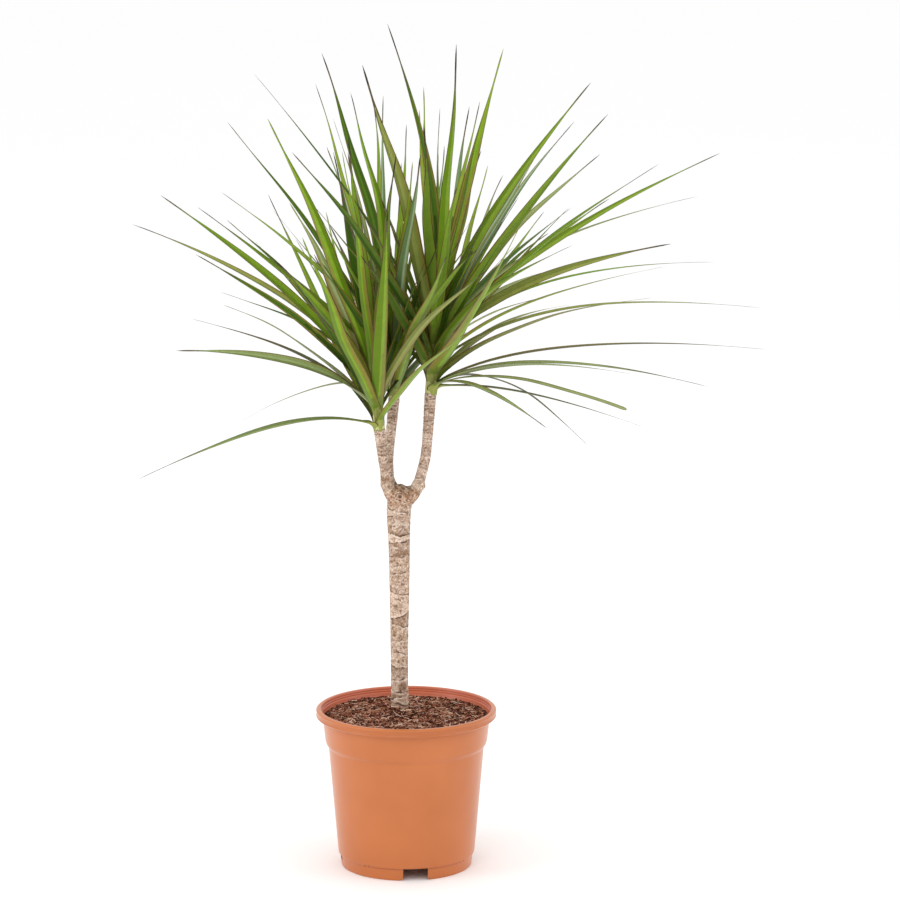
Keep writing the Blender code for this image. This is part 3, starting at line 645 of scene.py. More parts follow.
def turned(name, profile, steps):
    mesh = bpy.data.meshes.new(name)
    edges = [(i, i + 1) for i in range(len(profile) - 1)]
    mesh.from_pydata([(r * MM, 0.0, z * MM) for r, z in profile], edges, [])
    made = mesh_object(name, mesh)
    screw = made.modifiers.new("spin", "SCREW")
    screw.steps = steps
    screw.render_steps = steps
    screw.use_merge_vertices = True
    screw.merge_threshold = 0.00001
    return made


def tube(name, stations, sides=32, resolution=8):
    """A capped limb through stations of (x, y, z, radius)."""
    path = bpy.data.curves.new(name, "CURVE")
    path.dimensions = "3D"
    path.bevel_depth = MM
    path.bevel_resolution = sides // 4 - 1
    path.resolution_u = resolution
    path.use_fill_caps = True
    spline = path.splines.new("BEZIER")
    spline.bezier_points.add(len(stations) - 1)
    for point, (x, y, z, radius) in zip(spline.bezier_points, stations):
        point.co = Vector((x, y, z)) * MM
        point.radius = radius
        point.handle_left_type = "AUTO"
        point.handle_right_type = "AUTO"
    return welded(settled(mesh_object(name, path)))


def joined(name, things):
    """One mesh object out of several."""
    bm = bmesh.new()
    for thing in things:
        bm.from_mesh(thing.data)
        bpy.data.objects.remove(thing, do_unlink=True)
    mesh = bpy.data.meshes.new(name)
    bm.to_mesh(mesh)
    bm.free()
    return mesh_object(name, mesh)


# Pot

def terracotta_plastic(name, colour, warm):
    """Moulded plastic: satin, a little cloudy in colour, with a faint orange peel."""
    finish = Finish(name, Metallic=0.0, Specular_IOR_Level=0.4, Coat_Weight=0.2, Coat_Roughness=0.3)
    cloud = finish.cloud(60.0, 2.0)
    finish.set("Base Color", finish.mix(cloud.ramp(0.3, 0.7), colour, warm))
    finish.set("Roughness", 0.27 + 0.08 * finish.cloud(9.0, 2.0))
    finish.bump(finish.cloud(2.2, 2.0), 0.06, 0.2)
    return finish.made


def notch_outline():
    half, top, bend = NOTCH_WIDTH / 2, NOTCH_HEIGHT, NOTCH_ROUND
    right = [(half - 0.8, top), (half - 0.25, top - 0.25), (half, top - 0.8)]
    for step in range(7):
        angle = math.radians(15 * step)
        right.append((half + bend * (1 - math.cos(angle)), bend * (1 - math.sin(angle))))
    right.append((half + bend, -2.0))
    return right + [(-x, z) for x, z in reversed(right)]


def cutter_through(name, outline, depth, radius, height, bearing):
    """An outline of (across, up) pushed through the wall at a bearing."""
    path = bpy.data.curves.new(name, "CURVE")
    path.dimensions = "2D"
    path.fill_mode = "BOTH"
    path.extrude = depth / 2 * MM
    spline = path.splines.new("POLY")
    spline.points.add(len(outline) - 1)
    spline.use_cyclic_u = True
    for point, (x, z) in zip(spline.points, outline):
        point.co = (x * MM, z * MM, 0.0, 1.0)
    cutter = welded(settled(mesh_object(name, path)))
    cutter.rotation_euler = (math.radians(90), 0.0, math.radians(bearing))
    cutter.location = (bearing_vector(bearing) * radius + UP * height) * MM
    return cutter


def slot_outline():
    width, height = (size / 2 for size in SLOT_SIZE)
    corner = [(width, height - SLOT_ROUND), (width - SLOT_ROUND, height)]
    top = corner + [(-x, z) for x, z in reversed(corner)]
    return top + [(-x, -z) for x, z in top]


def drain_cutter(number):
    bm = bmesh.new()
    bmesh.ops.create_cone(bm, cap_ends=True, segments=32, radius1=DRAIN_RADIUS * MM,
                          radius2=DRAIN_RADIUS * MM, depth=10.0 * MM)
    mesh = bpy.data.meshes.new("drain")
    bm.to_mesh(mesh)
    bm.free()
    drain = mesh_object(f"drain_{number}", mesh)
    around = bearing_vector(number * 360 / DRAIN_COUNT) * DRAIN_RING
    drain.location = (around + UP * (FOOT_INSIDE[-1][1] + 1.0)) * MM
    return drain


def pot_cutters():
    """What is cut out of the pot: a notch and a slot on both sides, and the drain holes."""
    foot = POT_OUTSIDE[-1][0]
    cutters = []
    for half_turn in (0, 180):
        cutters.append(cutter_through(f"notch_{half_turn}", notch_outline(), CUT_DEPTH, foot,
                                      0.0, NOTCH_BEARING + half_turn))
        cutters.append(cutter_through(f"slot_{half_turn}", slot_outline(), CUT_DEPTH, foot + 1.0,
                                      SLOT_HEIGHT, SLOT_BEARING + half_turn))
    return cutters + [drain_cutter(number) for number in range(DRAIN_COUNT)]


def deal_pot_plastics(pot):
    """The inner wall is redder than the outside, and the rim's outer face is darker: a painted shade on
    the same plastic.
    """
    pot.data.materials.clear()
    pot.data.materials.append(terracotta_plastic("terracotta_plastic", POT_ORANGE, POT_WARM))
    pot.data.materials.append(terracotta_plastic("inner_wall_plastic", POT_INNER, POT_INNER_WARM))
    pot.data.materials.append(terracotta_plastic("rim_plastic", POT_RIM_PAINTED_SHADE, POT_RIM_WARM_PAINTED_SHADE))
    least, low, high = RIM_FACE
    for face in pot.data.polygons:
        out = face.center - AXIS
        reach = math.hypot(out.x, out.y)
        inward = out.x * face.normal.x + out.y * face.normal.y < -0.3 * reach
        face.material_index = int(inward and out.z > FOOT_INSIDE[-1][1] * MM + 0.001)
        if reach > least * MM and low * MM < out.z < high * MM:
            # Painted shade: the rim's outer face takes the darker plastic
            face.material_index = 2


def make_pot():
    inside = list(reversed(POT_INSIDE))
    profile = [(0.0, inside[0][1], 0)] + inside + POT_OUTSIDE + FOOT_INSIDE
    profile.append((0.0, FOOT_INSIDE[-1][1], 0))
    pot = turned("pot_wall", rounded(profile), POT_STEPS)
    cutters = pot_cutters()
    group = bpy.data.collections.new("pot_cutters")
    bpy.context.scene.collection.children.link(group)
    for cutter in cutters:
        group.objects.link(cutter)
    cut = pot.modifiers.new("cut", "BOOLEAN")
    cut.operation = "DIFFERENCE"
    cut.operand_type = "COLLECTION"
    cut.collection = group
    cut.solver = "EXACT"
    pot = shaded(placed(welded(settled(pot))), 32)
    for cutter in cutters:
        bpy.data.objects.remove(cutter, do_unlink=True)
    deal_pot_plastics(pot)
    on_plant(pot, "pot", "pot")
    make_foot_marks()


def make_foot_marks():
    """Dark lines of painted shadow round the foot under its ledge, each with a small dark dot of painted
    shade at its ends.
    """
    radius = POT_OUTSIDE[-2][0] + 0.5
    lines, pits = [], []
    for number, (start, end) in enumerate(FOOT_LINES):
        arc = [bearing_vector(start + (end - start) * i / 12) * radius for i in range(13)]
        stations = [(p.x, p.y, FOOT_LINE_HEIGHT, FOOT_LINE_THICK) for p in arc]
        lines.append(tube(f"foot_line_{number}", stations, sides=8, resolution=4))
    for number, bearing in enumerate(FOOT_PITS):
        stations = []
        for step, thick in FOOT_PIT_ENDS:
            end = bearing_vector(bearing) * (radius + step)
            stations.append((end.x, end.y, FOOT_LINE_HEIGHT, thick))
        pits.append(tube(f"foot_pit_{number}", stations, sides=12, resolution=2))
    # The lines and dots take dark plastic: a painted shadow and a painted shade
    for name, pieces, colour in (("foot_lines", lines, POT_SHADOW_LINE), ("foot_pits", pits, POT_PIT_SHADE)):
        moulded = shaded(placed(joined(name, pieces)))
        warm = blend_of(colour, POT_WARM, 0.15)
        moulded.data.materials.append(terracotta_plastic(f"{name}_plastic", colour, warm))
        on_plant(moulded, "pot")


# Soil

def peat(name, dark, light, rough=0.92):
    finish = Finish(name, Metallic=0.0, Specular_IOR_Level=0.1, Roughness=rough)
    grain = finish.cloud(2.4, 5.0, 0.65)
    finish.set("Base Color", finish.mix(grain.ramp(0.42, 0.62), dark, light))
    finish.bump(finish.cloud(1.1, 4.0, 0.6), 0.5, 0.5)
    return finish.made


def soil_height(x, y, radius):
    """Height of the peat's top: lumpy, heaped round the cane, with a dip before it."""
    fall = (radius / SOIL_RADIUS) ** 2 * (SOIL_TOP - SOIL_EDGE)
    lump = sum(noise.noise(Vector((x, y, seed)) / size) * high for size, seed, high in SOIL_LUMPS)
    calm = min(1.0, (SOIL_RADIUS - radius) / LUMPS_CALM)
    foot, reach, high = MOUND
    away = max(0.0, math.hypot(x - TRUNK[0][0], y - TRUNK[0][1]) - foot)
    heaped = high * math.exp(-(away / reach) ** 2)
    size, seed = MOUND_LUMPS
    heaped *= 0.85 + 0.5 * noise.noise(Vector((x, y, seed)) / size)
    dip_x, dip_y, reach, depth = HOLLOW
    heaped -= depth * math.exp(-((x - dip_x) ** 2 + (y - dip_y) ** 2) / reach ** 2)
    return SOIL_TOP - fall + lump * (LUMPS_LEFT + (1 - LUMPS_LEFT) * calm) + heaped - SETTLED


def make_soil():
    """A closed body of peat with a lumpy top, then crumbs and fibres strewn over it."""
    wall = [(r - SOIL_GAP, z) for r, z, _ in POT_INSIDE if z < SOIL_EDGE - 1]
    wall[-1] = (wall[-1][0], wall[-1][1] + SOIL_GAP)
    rings, sectors = SOIL_GRID
    points, faces = [(0.0, 0.0, SOIL_TOP)], []
    for ring in range(1, rings + 1):
        radius = SOIL_RADIUS * ring / rings
        for sector in range(sectors):
            angle = 2 * math.pi * sector / sectors
            x, y = radius * math.cos(angle), radius * math.sin(angle)
            points.append((x, y, soil_height(x, y, radius)))
    for radius, height in wall:
        for sector in range(sectors):
            angle = 2 * math.pi * sector / sectors
            points.append((radius * math.cos(angle), radius * math.sin(angle), height))
    points.append((0.0, 0.0, wall[-1][1]))
    for sector in range(sectors):
        after = (sector + 1) % sectors
        faces.append((0, 1 + sector, 1 + after))
        for level in range(rings + len(wall) - 1):
            low = 1 + level * sectors
            faces.append((low + sector, low + sectors + sector, low + sectors + after, low + after))
        low = 1 + (rings + len(wall) - 1) * sectors
        faces.append((low + sector, len(points) - 1, low + after))
    mesh = bpy.data.meshes.new("peat_body")
    mesh.from_pydata([Vector(p) * MM for p in points], [], faces)
    body = shaded(mesh_object("peat_body", mesh), 60)
    body.data.materials.append(peat("peat", PEAT_DARK, PEAT_LIGHT))

    trees = {"crumbs": crumb_tree(), "fibres": fibre_tree("short"), "long_fibres": fibre_tree("long")}
    strewn = [strew(name, body, tree) for name, tree in trees.items()]
    placed(body)
    on_plant(body, "soil", "soil")
    for thing in strewn:
        placed(shaded(thing, 50))
        on_plant(thing, "soil")


def strew(name, ground, tree):
    """A tree that scatters, run on a copy of the ground."""
    copy = mesh_object(name, ground.data.copy())
    copy.data.materials.clear()
    return tree.grown_on(copy)


def scattered(tree, count, seed, piece_reach):
    """Points on the ground's top, as far out as a piece of that reach stays clear of the wall."""
    normal = tree.node("GeometryNodeInputNormal")[0]
    facing = tree.node("ShaderNodeSeparateXYZ", {}, {0: normal})["Z"]
    place = tree.node("GeometryNodeInputPosition")[0]
    parts = tree.node("ShaderNodeSeparateXYZ", {}, {0: place})
    limit = (SOIL_RADIUS - piece_reach) * MM
    within = parts["X"] ** 2.0 + parts["Y"] ** 2.0 < limit ** 2
    top = (facing > 0.3) * (parts["Z"] > STREWN_ABOVE * MM) * within
    area = math.pi * (STREWN_RADIUS * MM) ** 2
    return tree.node("GeometryNodeDistributePointsOnFaces", {}, {
        "Mesh": tree.geometry(), "Selection": top, "Density": tree.wants("Count", float(count)) / area,
        "Seed": seed})["Points"]


def any_number(tree, low, high, seed):
    made = tree.node("FunctionNodeRandomValue", {"data_type": "FLOAT"}, {2: low, 3: high, 8: seed})
    return made[1]


def any_vector(tree, low, high, seed):
    made = tree.node("FunctionNodeRandomValue", {"data_type": "FLOAT_VECTOR"},
                     {0: low, 1: high, 8: seed})
    return made[0]


def instanced(tree, points, instance, turn, scale):
    return tree.node("GeometryNodeInstanceOnPoints", {}, {
        "Points": points, "Instance": instance, "Rotation": turn, "Scale": scale})[0]


def dealt(tree, geometry, seed, count):
    """Gives each instance a share of the deal, and returns the selections of each hand."""
    lot = any_number(tree, 0.0, float(count), seed)
    kept = tree.node("GeometryNodeStoreNamedAttribute", {"data_type": "FLOAT", "domain": "INSTANCE"},
                     {"Geometry": geometry, "Name": "lot", "Value": lot})[0]
    drawn = tree.attribute("lot")
    return kept, [None] + [drawn > float(hand) for hand in range(1, count)]


def crumb_tree():
    tree = Shape("strew_crumbs")
    size = tree.wants("Crumb size", CRUMB_SIZE * MM)
    points = scattered(tree, CRUMBS, 3, CRUMB_REACH)
    ball = tree.node("GeometryNodeMeshIcoSphere", {}, {"Radius": size, "Subdivisions": 1})["Mesh"]
    scale = any_vector(tree, (0.35, 0.35, 0.3), (1.7, 1.2, 0.95), 5)
    crumbs = instanced(tree, points, ball, any_vector(tree, (0, 0, 0), (ROUND, ROUND, ROUND), 4), scale)
    crumbs, hands = dealt(tree, crumbs, 6, len(CRUMB_TONES))
    tones = [peat(f"peat_crumb_{name}", *shades) for name, shades in CRUMB_TONES.items()]
    tree.finish(crumbs, list(zip(tones, hands)))
    return tree


def fibre_tree(kind):
    count, length, thick, seed = FIBRES[kind]
    tree = Shape(f"strew_{kind}_fibres")
    thickness = tree.wants("Fibre thickness", thick * MM)
    points = scattered(tree, count, seed, FIBRE_REACH * length)
    half = FIBRE_HALF * length * MM
    line = tree.node("GeometryNodeCurveQuadraticBezier", {}, {
        "Resolution": 6, "Start": (-half, 0.0, 0.0),
        "Middle": (0.2 * MM, FIBRE_BOW * length * MM, 1.0 * MM), "End": (half, 0.3 * MM, 0.0)})[0]
    ring = tree.node("GeometryNodeCurvePrimitiveCircle", {}, {"Resolution": 4, "Radius": thickness})[0]
    fibre = tree.node("GeometryNodeCurveToMesh", {}, {"Curve": line, "Profile Curve": ring,
                                                      "Fill Caps": True})[0]
    scale = any_vector(tree, (0.35, -1.3, 0.6), (1.3, 1.3, 1.4), seed + 2)
    turn = any_vector(tree, (-0.3, -0.3, 0.0), (0.3, 0.3, ROUND), seed + 1)
    fibres = instanced(tree, points, fibre, turn, scale)
    fibres, hands = dealt(tree, fibres, seed + 3, len(FIBRE_TONES))
    tones = [peat(f"{kind}_fibre_{name}", *shades) for name, shades in FIBRE_TONES.items()]
    tree.finish(fibres, list(zip(tones, hands)))
    return tree


# Cane and limbs

class Cane:
    """The middle line of the trunk or of a limb, with the rings that fallen leaves left on it."""

    def __init__(self, stations):
        self.points = np.array([s[:3] for s in stations])
        self.radii = np.array([s[3] for s in stations])
        steps = np.linalg.norm(np.diff(self.points, axis=0), axis=1)
        self.run = np.concatenate([[0.0], np.cumsum(steps)])
        self.rings = []

    def ringed(self, rows):
        """Rings from a table of what was measured."""
        names = ("height", "turn", "dip", "weight", "shade", "tone")
        for row in rows:
            ring = dict(zip(names, row))
            ring["turn"] = math.radians(ring["turn"])
            self.rings.append(ring)
        return self

    def scarred(self, spacing, dips, weights, seed):
        """Rings drawn by chance, turned by the golden angle from one to the next."""
        chance = random.Random(seed)
        height, turn = chance.uniform(1.0, 3.0), chance.uniform(0, 2 * math.pi)
        while height < self.run[-1]:
            share = height / self.run[-1]
            dip = chance.uniform(0.35, 1.0) * dips * chance.choice((-1, 1))
            weight = weights[0] + (weights[1] - weights[0]) * share
            self.rings.append({"height": height, "turn": turn, "dip": dip, "tone": chance.random(),
                               "weight": weight * chance.uniform(0.65, 1.0),
                               "shade": chance.random() ** 1.5})
            height += (spacing[0] + (spacing[1] - spacing[0]) * share) * chance.uniform(0.6, 1.35)
            turn += math.radians(GOLDEN_ANGLE) + chance.uniform(-0.3, 0.3)
        return self

    def nearest(self, places):
        """Distance from the surface, run along the line, and the angle round it."""
        best = np.full(len(places), 1e9)
        run = np.zeros(len(places))
        angle = np.zeros(len(places))
        for i in range(len(self.points) - 1):
            a, b = self.points[i], self.points[i + 1]
            along = b - a
            t = np.clip((places - a) @ along / (along @ along), 0.0, 1.0)
            away = places - (a + t[:, None] * along)
            gap = np.linalg.norm(away, axis=1) - (self.radii[i] + t * (self.radii[i + 1] - self.radii[i]))
            closer = gap < best
            best = np.where(closer, gap, best)
            run = np.where(closer, self.run[i] + t * (self.run[i + 1] - self.run[i]), run)
            angle = np.where(closer, np.arctan2(away[:, 0], -away[:, 1]), angle)
        return best, run, angle

    def marks(self, run, angle, wobble, ragged):
        """At each place: how deep in a ring's line it lies, its shade, its field's tone, and its rim, a
        raised lip that also carries a painted highlight.
        """
        line, shade, rim = (np.zeros(len(run)) for _ in range(3))
        tone = np.full(len(run), 0.5)
        for ring in self.rings:
            off = np.abs((angle - ring["turn"] + math.pi) % (2 * math.pi) - math.pi) / math.pi
            gap = run - ring["height"] - ring["dip"] * (2 * off - 1) - wobble
            strength = ring["weight"] * np.clip(0.8 + 1.2 * ragged, 0.25, 1.0)
            line = np.maximum(line, strength * np.exp(-(gap / LINE_WIDTH) ** 2))
            # The rim: a raised lip beside the line, and a painted highlight in the bark's colour
            beside = gap * np.sign(ring["shade"]) + RIM_GAP
            rim = np.maximum(rim, strength * np.exp(-(beside / LINE_WIDTH) ** 2))
            side = gap * np.sign(ring["shade"])
            reach = np.exp(-np.clip(side, 0.0, None) / SHADE_RUN) * (side > 0)
            shade = np.maximum(shade, abs(ring["shade"]) * reach)
            tone = np.where(gap > 0, ring["tone"], tone)
        return line, shade, tone, rim


def noise_over(places, size, seed):
    return np.array([noise.noise(Vector(p) / size + Vector((seed, 0, 0))) for p in places])


def bump_at(places, centre, size):
    return np.exp(-np.sum((places - np.array(centre)) ** 2, axis=1) / size ** 2)


def bark_skin():
    """The cane, its knuckle and its limbs as one closed skin, still smooth."""
    x, y, _, radius = TRUNK[0]
    pieces = [tube("cane", [(x, y, SOIL_TOP - BURIED, radius)] + TRUNK)]
    bm = bmesh.new()
    bmesh.ops.create_uvsphere(bm, u_segments=48, v_segments=28, radius=1.0)
    bmesh.ops.scale(bm, vec=Vector(KNUCKLE_RADII) * MM, verts=bm.verts)
    bmesh.ops.translate(bm, vec=Vector(KNUCKLE) * MM, verts=bm.verts)
    mesh = bpy.data.meshes.new("knuckle")
    bm.to_mesh(mesh)
    bm.free()
    pieces.append(mesh_object("knuckle", mesh))
    for side in LIMBS:
        pieces.append(tube(f"bough_{side}", STUBS[side] + LIMBS[side]))
    x, y, z = EYE_SCAR
    pieces.append(tube("eye", [(x, -6.0, z, EYE_RADIUS), (x, y - 0.3, z, EYE_RADIUS)]))
    skin = joined("bark", pieces)
    remesh = skin.modifiers.new("skin", "REMESH")
    remesh.mode = "VOXEL"
    remesh.voxel_size = BARK_GRAIN * MM
    smooth = skin.modifiers.new("soften", "SMOOTH")
    smooth.factor = 0.5
    smooth.iterations = 5
    return settled(skin)


def ring_marks(places, wobble, ragged):
    """At each place: which cane is nearest, the marks of its rings, and the share of its run."""
    spacing, dips, weights, seed = LIMB_RINGS
    canes = [Cane(TRUNK).ringed(TRUNK_RINGS)]
    canes += [Cane(LIMBS[side]).scarred(spacing, dips, weights, seed + i) for i, side in enumerate(LIMBS)]
    found = []
    for cane in canes:
        gap, run, angle = cane.nearest(places)
        found.append((gap, *cane.marks(run, angle, wobble, ragged), run / cane.run[-1]))
    owner = np.argmin(np.array([row[0] for row in found]), axis=0)
    pick = np.arange(len(places))
    return owner, *(np.array([row[k] for row in found])[owner, pick] for k in range(1, 6))


def crease_shade_line(places, ragged):
    """Painted shade in the crease where the limbs rise out of the knuckle."""
    centre = np.array(KNUCKLE)
    away = np.linalg.norm((places - centre) / np.array(KNUCKLE_RADII), axis=1)
    at, width = CREASE
    crease = np.exp(-((away - at) / width) ** 2) * (places[:, 2] > centre[2] + 3)
    inner = np.clip(1.2 - np.abs(places[:, 0] - centre[0]) / CREASE_RUN, 0.2, 1.0)
    return crease * inner * np.clip(0.7 + ragged, 0.2, 1.0)


def with_eye(line, places, wobble, ragged):
    """The lines with the round scar on the knuckle's front in them: a ring about a pit."""
    x, y, z = EYE_SCAR
    eye = np.hypot(places[:, 0] - x, (places[:, 2] - z) * 1.25) + 0.75 * wobble
    radius, width, strength = EYE_RING
    rings = strength * np.exp(-((eye - radius) / width) ** 2) * np.clip(0.7 + 1.6 * ragged, 0.1, 1.2)
    radius, strength = EYE_PIT
    rings += strength * np.exp(-(eye / radius) ** 2)
    return np.where((places[:, 1] < y + 5) & (eye < EYE_REACH), rings, line)


def dark_spots(places, wobble):
    spots = np.zeros(len(places))
    for across, high, size, strength in SPOTS:
        near = np.hypot(places[:, 0] - across, places[:, 2] - high) + 0.5 * wobble
        spots = np.maximum(spots, strength * np.exp(-(near / size) ** 4) * (places[:, 1] < 0))
    return spots


def make_bark():
    """One skin with the relief of old leaf scars, and what its finish reads at each vertex."""
    skin = bark_skin()
    mesh = skin.data
    places = vertex_rows(mesh, "co").astype(float) / MM
    normals = vertex_rows(mesh, "normal")
    wobble = sum(high * noise_over(places, size, seed) for size, seed, high in RING_WOBBLE)
    ragged = noise_over(places, *RAGGED)
    owner, line, shade, tone, rim, share = ring_marks(places, wobble, ragged)
    trunk = owner == 0
    top = KNUCKLE[2]
    knuckle = np.clip(1.4 - np.abs(places[:, 2] - top) / KNUCKLE_RUN, 0.0, 1.0) * trunk
    line *= 1.0 - 0.85 * knuckle
    shade *= 1.0 - knuckle
    rim *= 1.0 - knuckle
    # The crease's painted shade joins the ring lines
    line = np.maximum(line, crease_shade_line(places, ragged))
    line = with_eye(line, places, wobble, ragged)
    shade = np.maximum(shade, dark_spots(places, wobble) * trunk)
    middle, half, dip = SADDLE
    saddle = np.exp(-((places[:, 0] - middle) / half) ** 2) * (places[:, 2] > top + 4) * trunk

    depth = (RELIEF["line"] * np.minimum(line, 1.1) + RELIEF["shade"] * shade + RELIEF["rim"] * rim
             + RELIEF["fine"] * noise_over(places, *FINE_GRAIN) + RELIEF["tone"] * (tone - 0.5))
    depth += RELIEF["lumps"] * noise_over(places, *LUMPS)
    for spot, size, height in BUMPS:
        depth += height * bump_at(places, spot, size)
    places += normals * depth[:, None]
    places[:, 2] -= dip * saddle
    # Painted shade on the knuckle's upward faces between the limbs, drawn in with the lines
    upward_shade = np.clip((normals[:, 2] - 0.6) / 0.3, 0.0, 1.0) * (places[:, 2] > top + 4) * trunk
    line = np.maximum(line, 0.7 * upward_shade * np.clip(0.7 + ragged, 0.2, 1.0))
    mesh.vertices.foreach_set("co", (places * MM).astype(np.float32).ravel())
    values = {"line": line, "shade": shade, "tone": tone, "limb": (owner > 0) * share,
              "knuckle": knuckle, "ragged": ragged, "rim": rim}
    for name, numbers in values.items():
        mesh.attributes.new(name, "FLOAT", "POINT").data.foreach_set("value", numbers.astype(np.float32))
    mesh.update()
    placed(skin)
    skin.data.shade_smooth()
    skin.data.materials.clear()
    skin.data.materials.append(bark_finish())
    on_plant(skin, "bark", "trunk", "limb_left", "limb_middle", "limb_right")


def bark_finish():
    """Pale tan bark: pinkish and greyish fields between brown ring lines, flecked and speckled."""
    finish = Finish("ringed_bark", Metallic=0.0, Specular_IOR_Level=0.3)
    line, shade, tone = (finish.attribute(name) for name in ("line", "shade", "tone"))
    limb, knuckle, ragged, rim = (finish.attribute(name) for name in ("limb", "knuckle", "ragged", "rim"))
    fine = finish.cloud(1.7, 5.0, 0.72)
    streak = finish.cloud(4.6, 4.0, 0.65, finish.stretched(1.0, 1.0, 1.6))
    broad = finish.cloud(11.0, 3.0)
    crowd = finish.cloud(7.0, 2.0, 0.5, finish.stretched(1.0, 1.0, 1.4))
    flecks = fine.ramp(0.46, 0.41) * crowd.ramp(0.56, 0.47)
    speckle = fine.ramp(0.52, 0.56) * (crowd + 0.3 * limb).ramp(0.44, 0.54)
    base = finish.mix(tone.ramp(0.1, 0.95), FIELD_BROWN, FIELD_TAN)
    for share, colour in ((broad.ramp(0.48, 0.60) * 0.6, CLOUD_PINK),
                          (streak.ramp(0.50, 0.58) * 0.62, STREAK_BROWN),
                          # Paler limbs: partly their bark, partly painted light
                          (limb.ramp(0.05, 0.5) * 0.6, LIMB_TAN_AND_PAINTED_LIGHT),
                          (knuckle * 0.7, KNUCKLE_BROWN),
                          (knuckle * streak.ramp(0.52, 0.57) * 0.6, KNUCKLE_DARK),
                          (flecks * 0.9, FLECK_PALE),
                          (shade * 0.9, SHADE_BROWN),
                          (speckle * 0.9, SPECKLE_BROWN),
                          # Painted highlight along the rim beside each line
                          (rim * 0.6, RIM_PAINTED_HIGHLIGHT),
                          # Ring lines, with the painted shade of the crease and of the knuckle's top
                          # among them
                          ((line + 0.25 * ragged).ramp(0.2, 0.75) * 0.92, LINE_BROWN)):
        base = finish.mix(share, base, colour)
    finish.set("Base Color", base)
    finish.set("Roughness", 0.74 + 0.18 * fine)
    finish.bump(fine * 0.7 + finish.cloud(0.6, 4.0, 0.6) * 0.4, 0.45, 0.35)
    return finish.made


# Leaves: the rule of the solids

def swell(share):
    """Blade width from root (0) to tip (1), as a share of the leaf's greatest width."""
    body = 0.60 + 0.40 * math.sin(math.pi * share ** 0.75)
    return max(body * (1.0 - share ** 3) ** 0.9, TIP_SHARE)


def bow_points(axis, radius, tip, arch):
    """Root, bend, pull and tip of a leaf."""
    out = Vector((tip.x - axis.x, tip.y - axis.y, 0.0)).normalized()
    root = axis + out * ROOT_SHARE * radius
    bend = axis + out * (radius + SHOULDER) + UP * SHOULDER_RISE
    chord = tip - bend
    lift = (UP - chord * (UP.dot(chord) / chord.length_squared)).normalized()
    return root, bend, bend + chord * PULL_AT + lift * 2.0 * arch


def along_bow(bend, pull, tip, t):
    return bend * (1 - t) ** 2 + pull * 2 * t * (1 - t) + tip * t * t


def leaf_path(axis, radius, tip, arch):
    root, bend, pull = bow_points(axis, radius, tip, arch)
    last = LEAF_STATIONS - 1
    return [root] + [along_bow(bend, pull, tip, step / last) for step in range(LEAF_STATIONS)]


def blade(path, width, turn, swollen=0.0):
    """The solids' blade with its lozenge section, for the test of its room."""
    points, faces = [], [(0, 1, 2, 3)]
    last = len(path) - 1
    for i, spot in enumerate(path):
        share = i / last
        along = (path[min(i + 1, last)] - path[max(i - 1, 0)]).normalized()
        across = along.cross(UP).normalized()
        face = across.cross(along)
        angle = turn * min(1.0, share / TURN_BY)
        across, face = (across * math.cos(angle) + face * math.sin(angle),
                        face * math.cos(angle) - across * math.sin(angle))
        half = width / 2 * swell(share) + swollen
        thick = LEAF_THICK / 2 * min(1.0, 1.9 * swell(share)) + swollen
        points += [spot + across * half, spot + face * thick, spot - across * half, spot - face * thick]
    for i in range(last):
        for k in range(4):
            a, b = 4 * i + k, 4 * i + (k + 1) % 4
            faces.append((a, a + 4, b + 4, b))
    faces.append(tuple(4 * last + 3 - k for k in range(4)))
    return points, faces


def tree_of(points, faces, first_face=0):
    return BVHTree.FromPolygons(points, faces[first_face:])


class Leaf:
    """One leaf: where it points, how it bows, and the whorl of the head it grows in."""

    def __init__(self, head, tip_at, reach, arch, width, turn, mark=None):
        self.head = head
        self.tip_at = tip_at
        self.reach = reach
        self.arch = arch
        self.width = width
        self.turn = turn
        self.mark = mark
        self.whorl = 0
        self.share = 0.0
        self.tip = None
        self.axis = None
        self.radius = 0.0
        self.tone = None


def along_sight(x, z, depth):
    """Moves a tip measured in the plane y = 0 to its depth, on the line of sight."""
    eye = Vector(EYE)
    return eye + (Vector((x, 0.0, z)) - eye) * (1.0 - depth / EYE[1])


def seen_leaves(head, base, chance):
    leaves = []
    for side, rows in SEEN_LEAVES[head].items():
        sign = SIDES[side]
        for x, z, arch, width in rows:
            spread = math.hypot(x - base.x, z - base.z)

            def tip_at(length, x=x, z=z, spread=spread, sign=sign):
                depth = math.sqrt(max(length ** 2 - spread ** 2, 0.0))
                return along_sight(x, z, base.y + sign * depth)

            facing = -1.0 if x > base.x else 1.0
            turn = facing * LEAN_TO_VIEW + chance.uniform(-LEAN_SPREAD, LEAN_SPREAD)
            leaves.append(Leaf(head, tip_at, chance.uniform(*LEAF_LENGTHS), arch, width, turn, (x, z)))
    return leaves


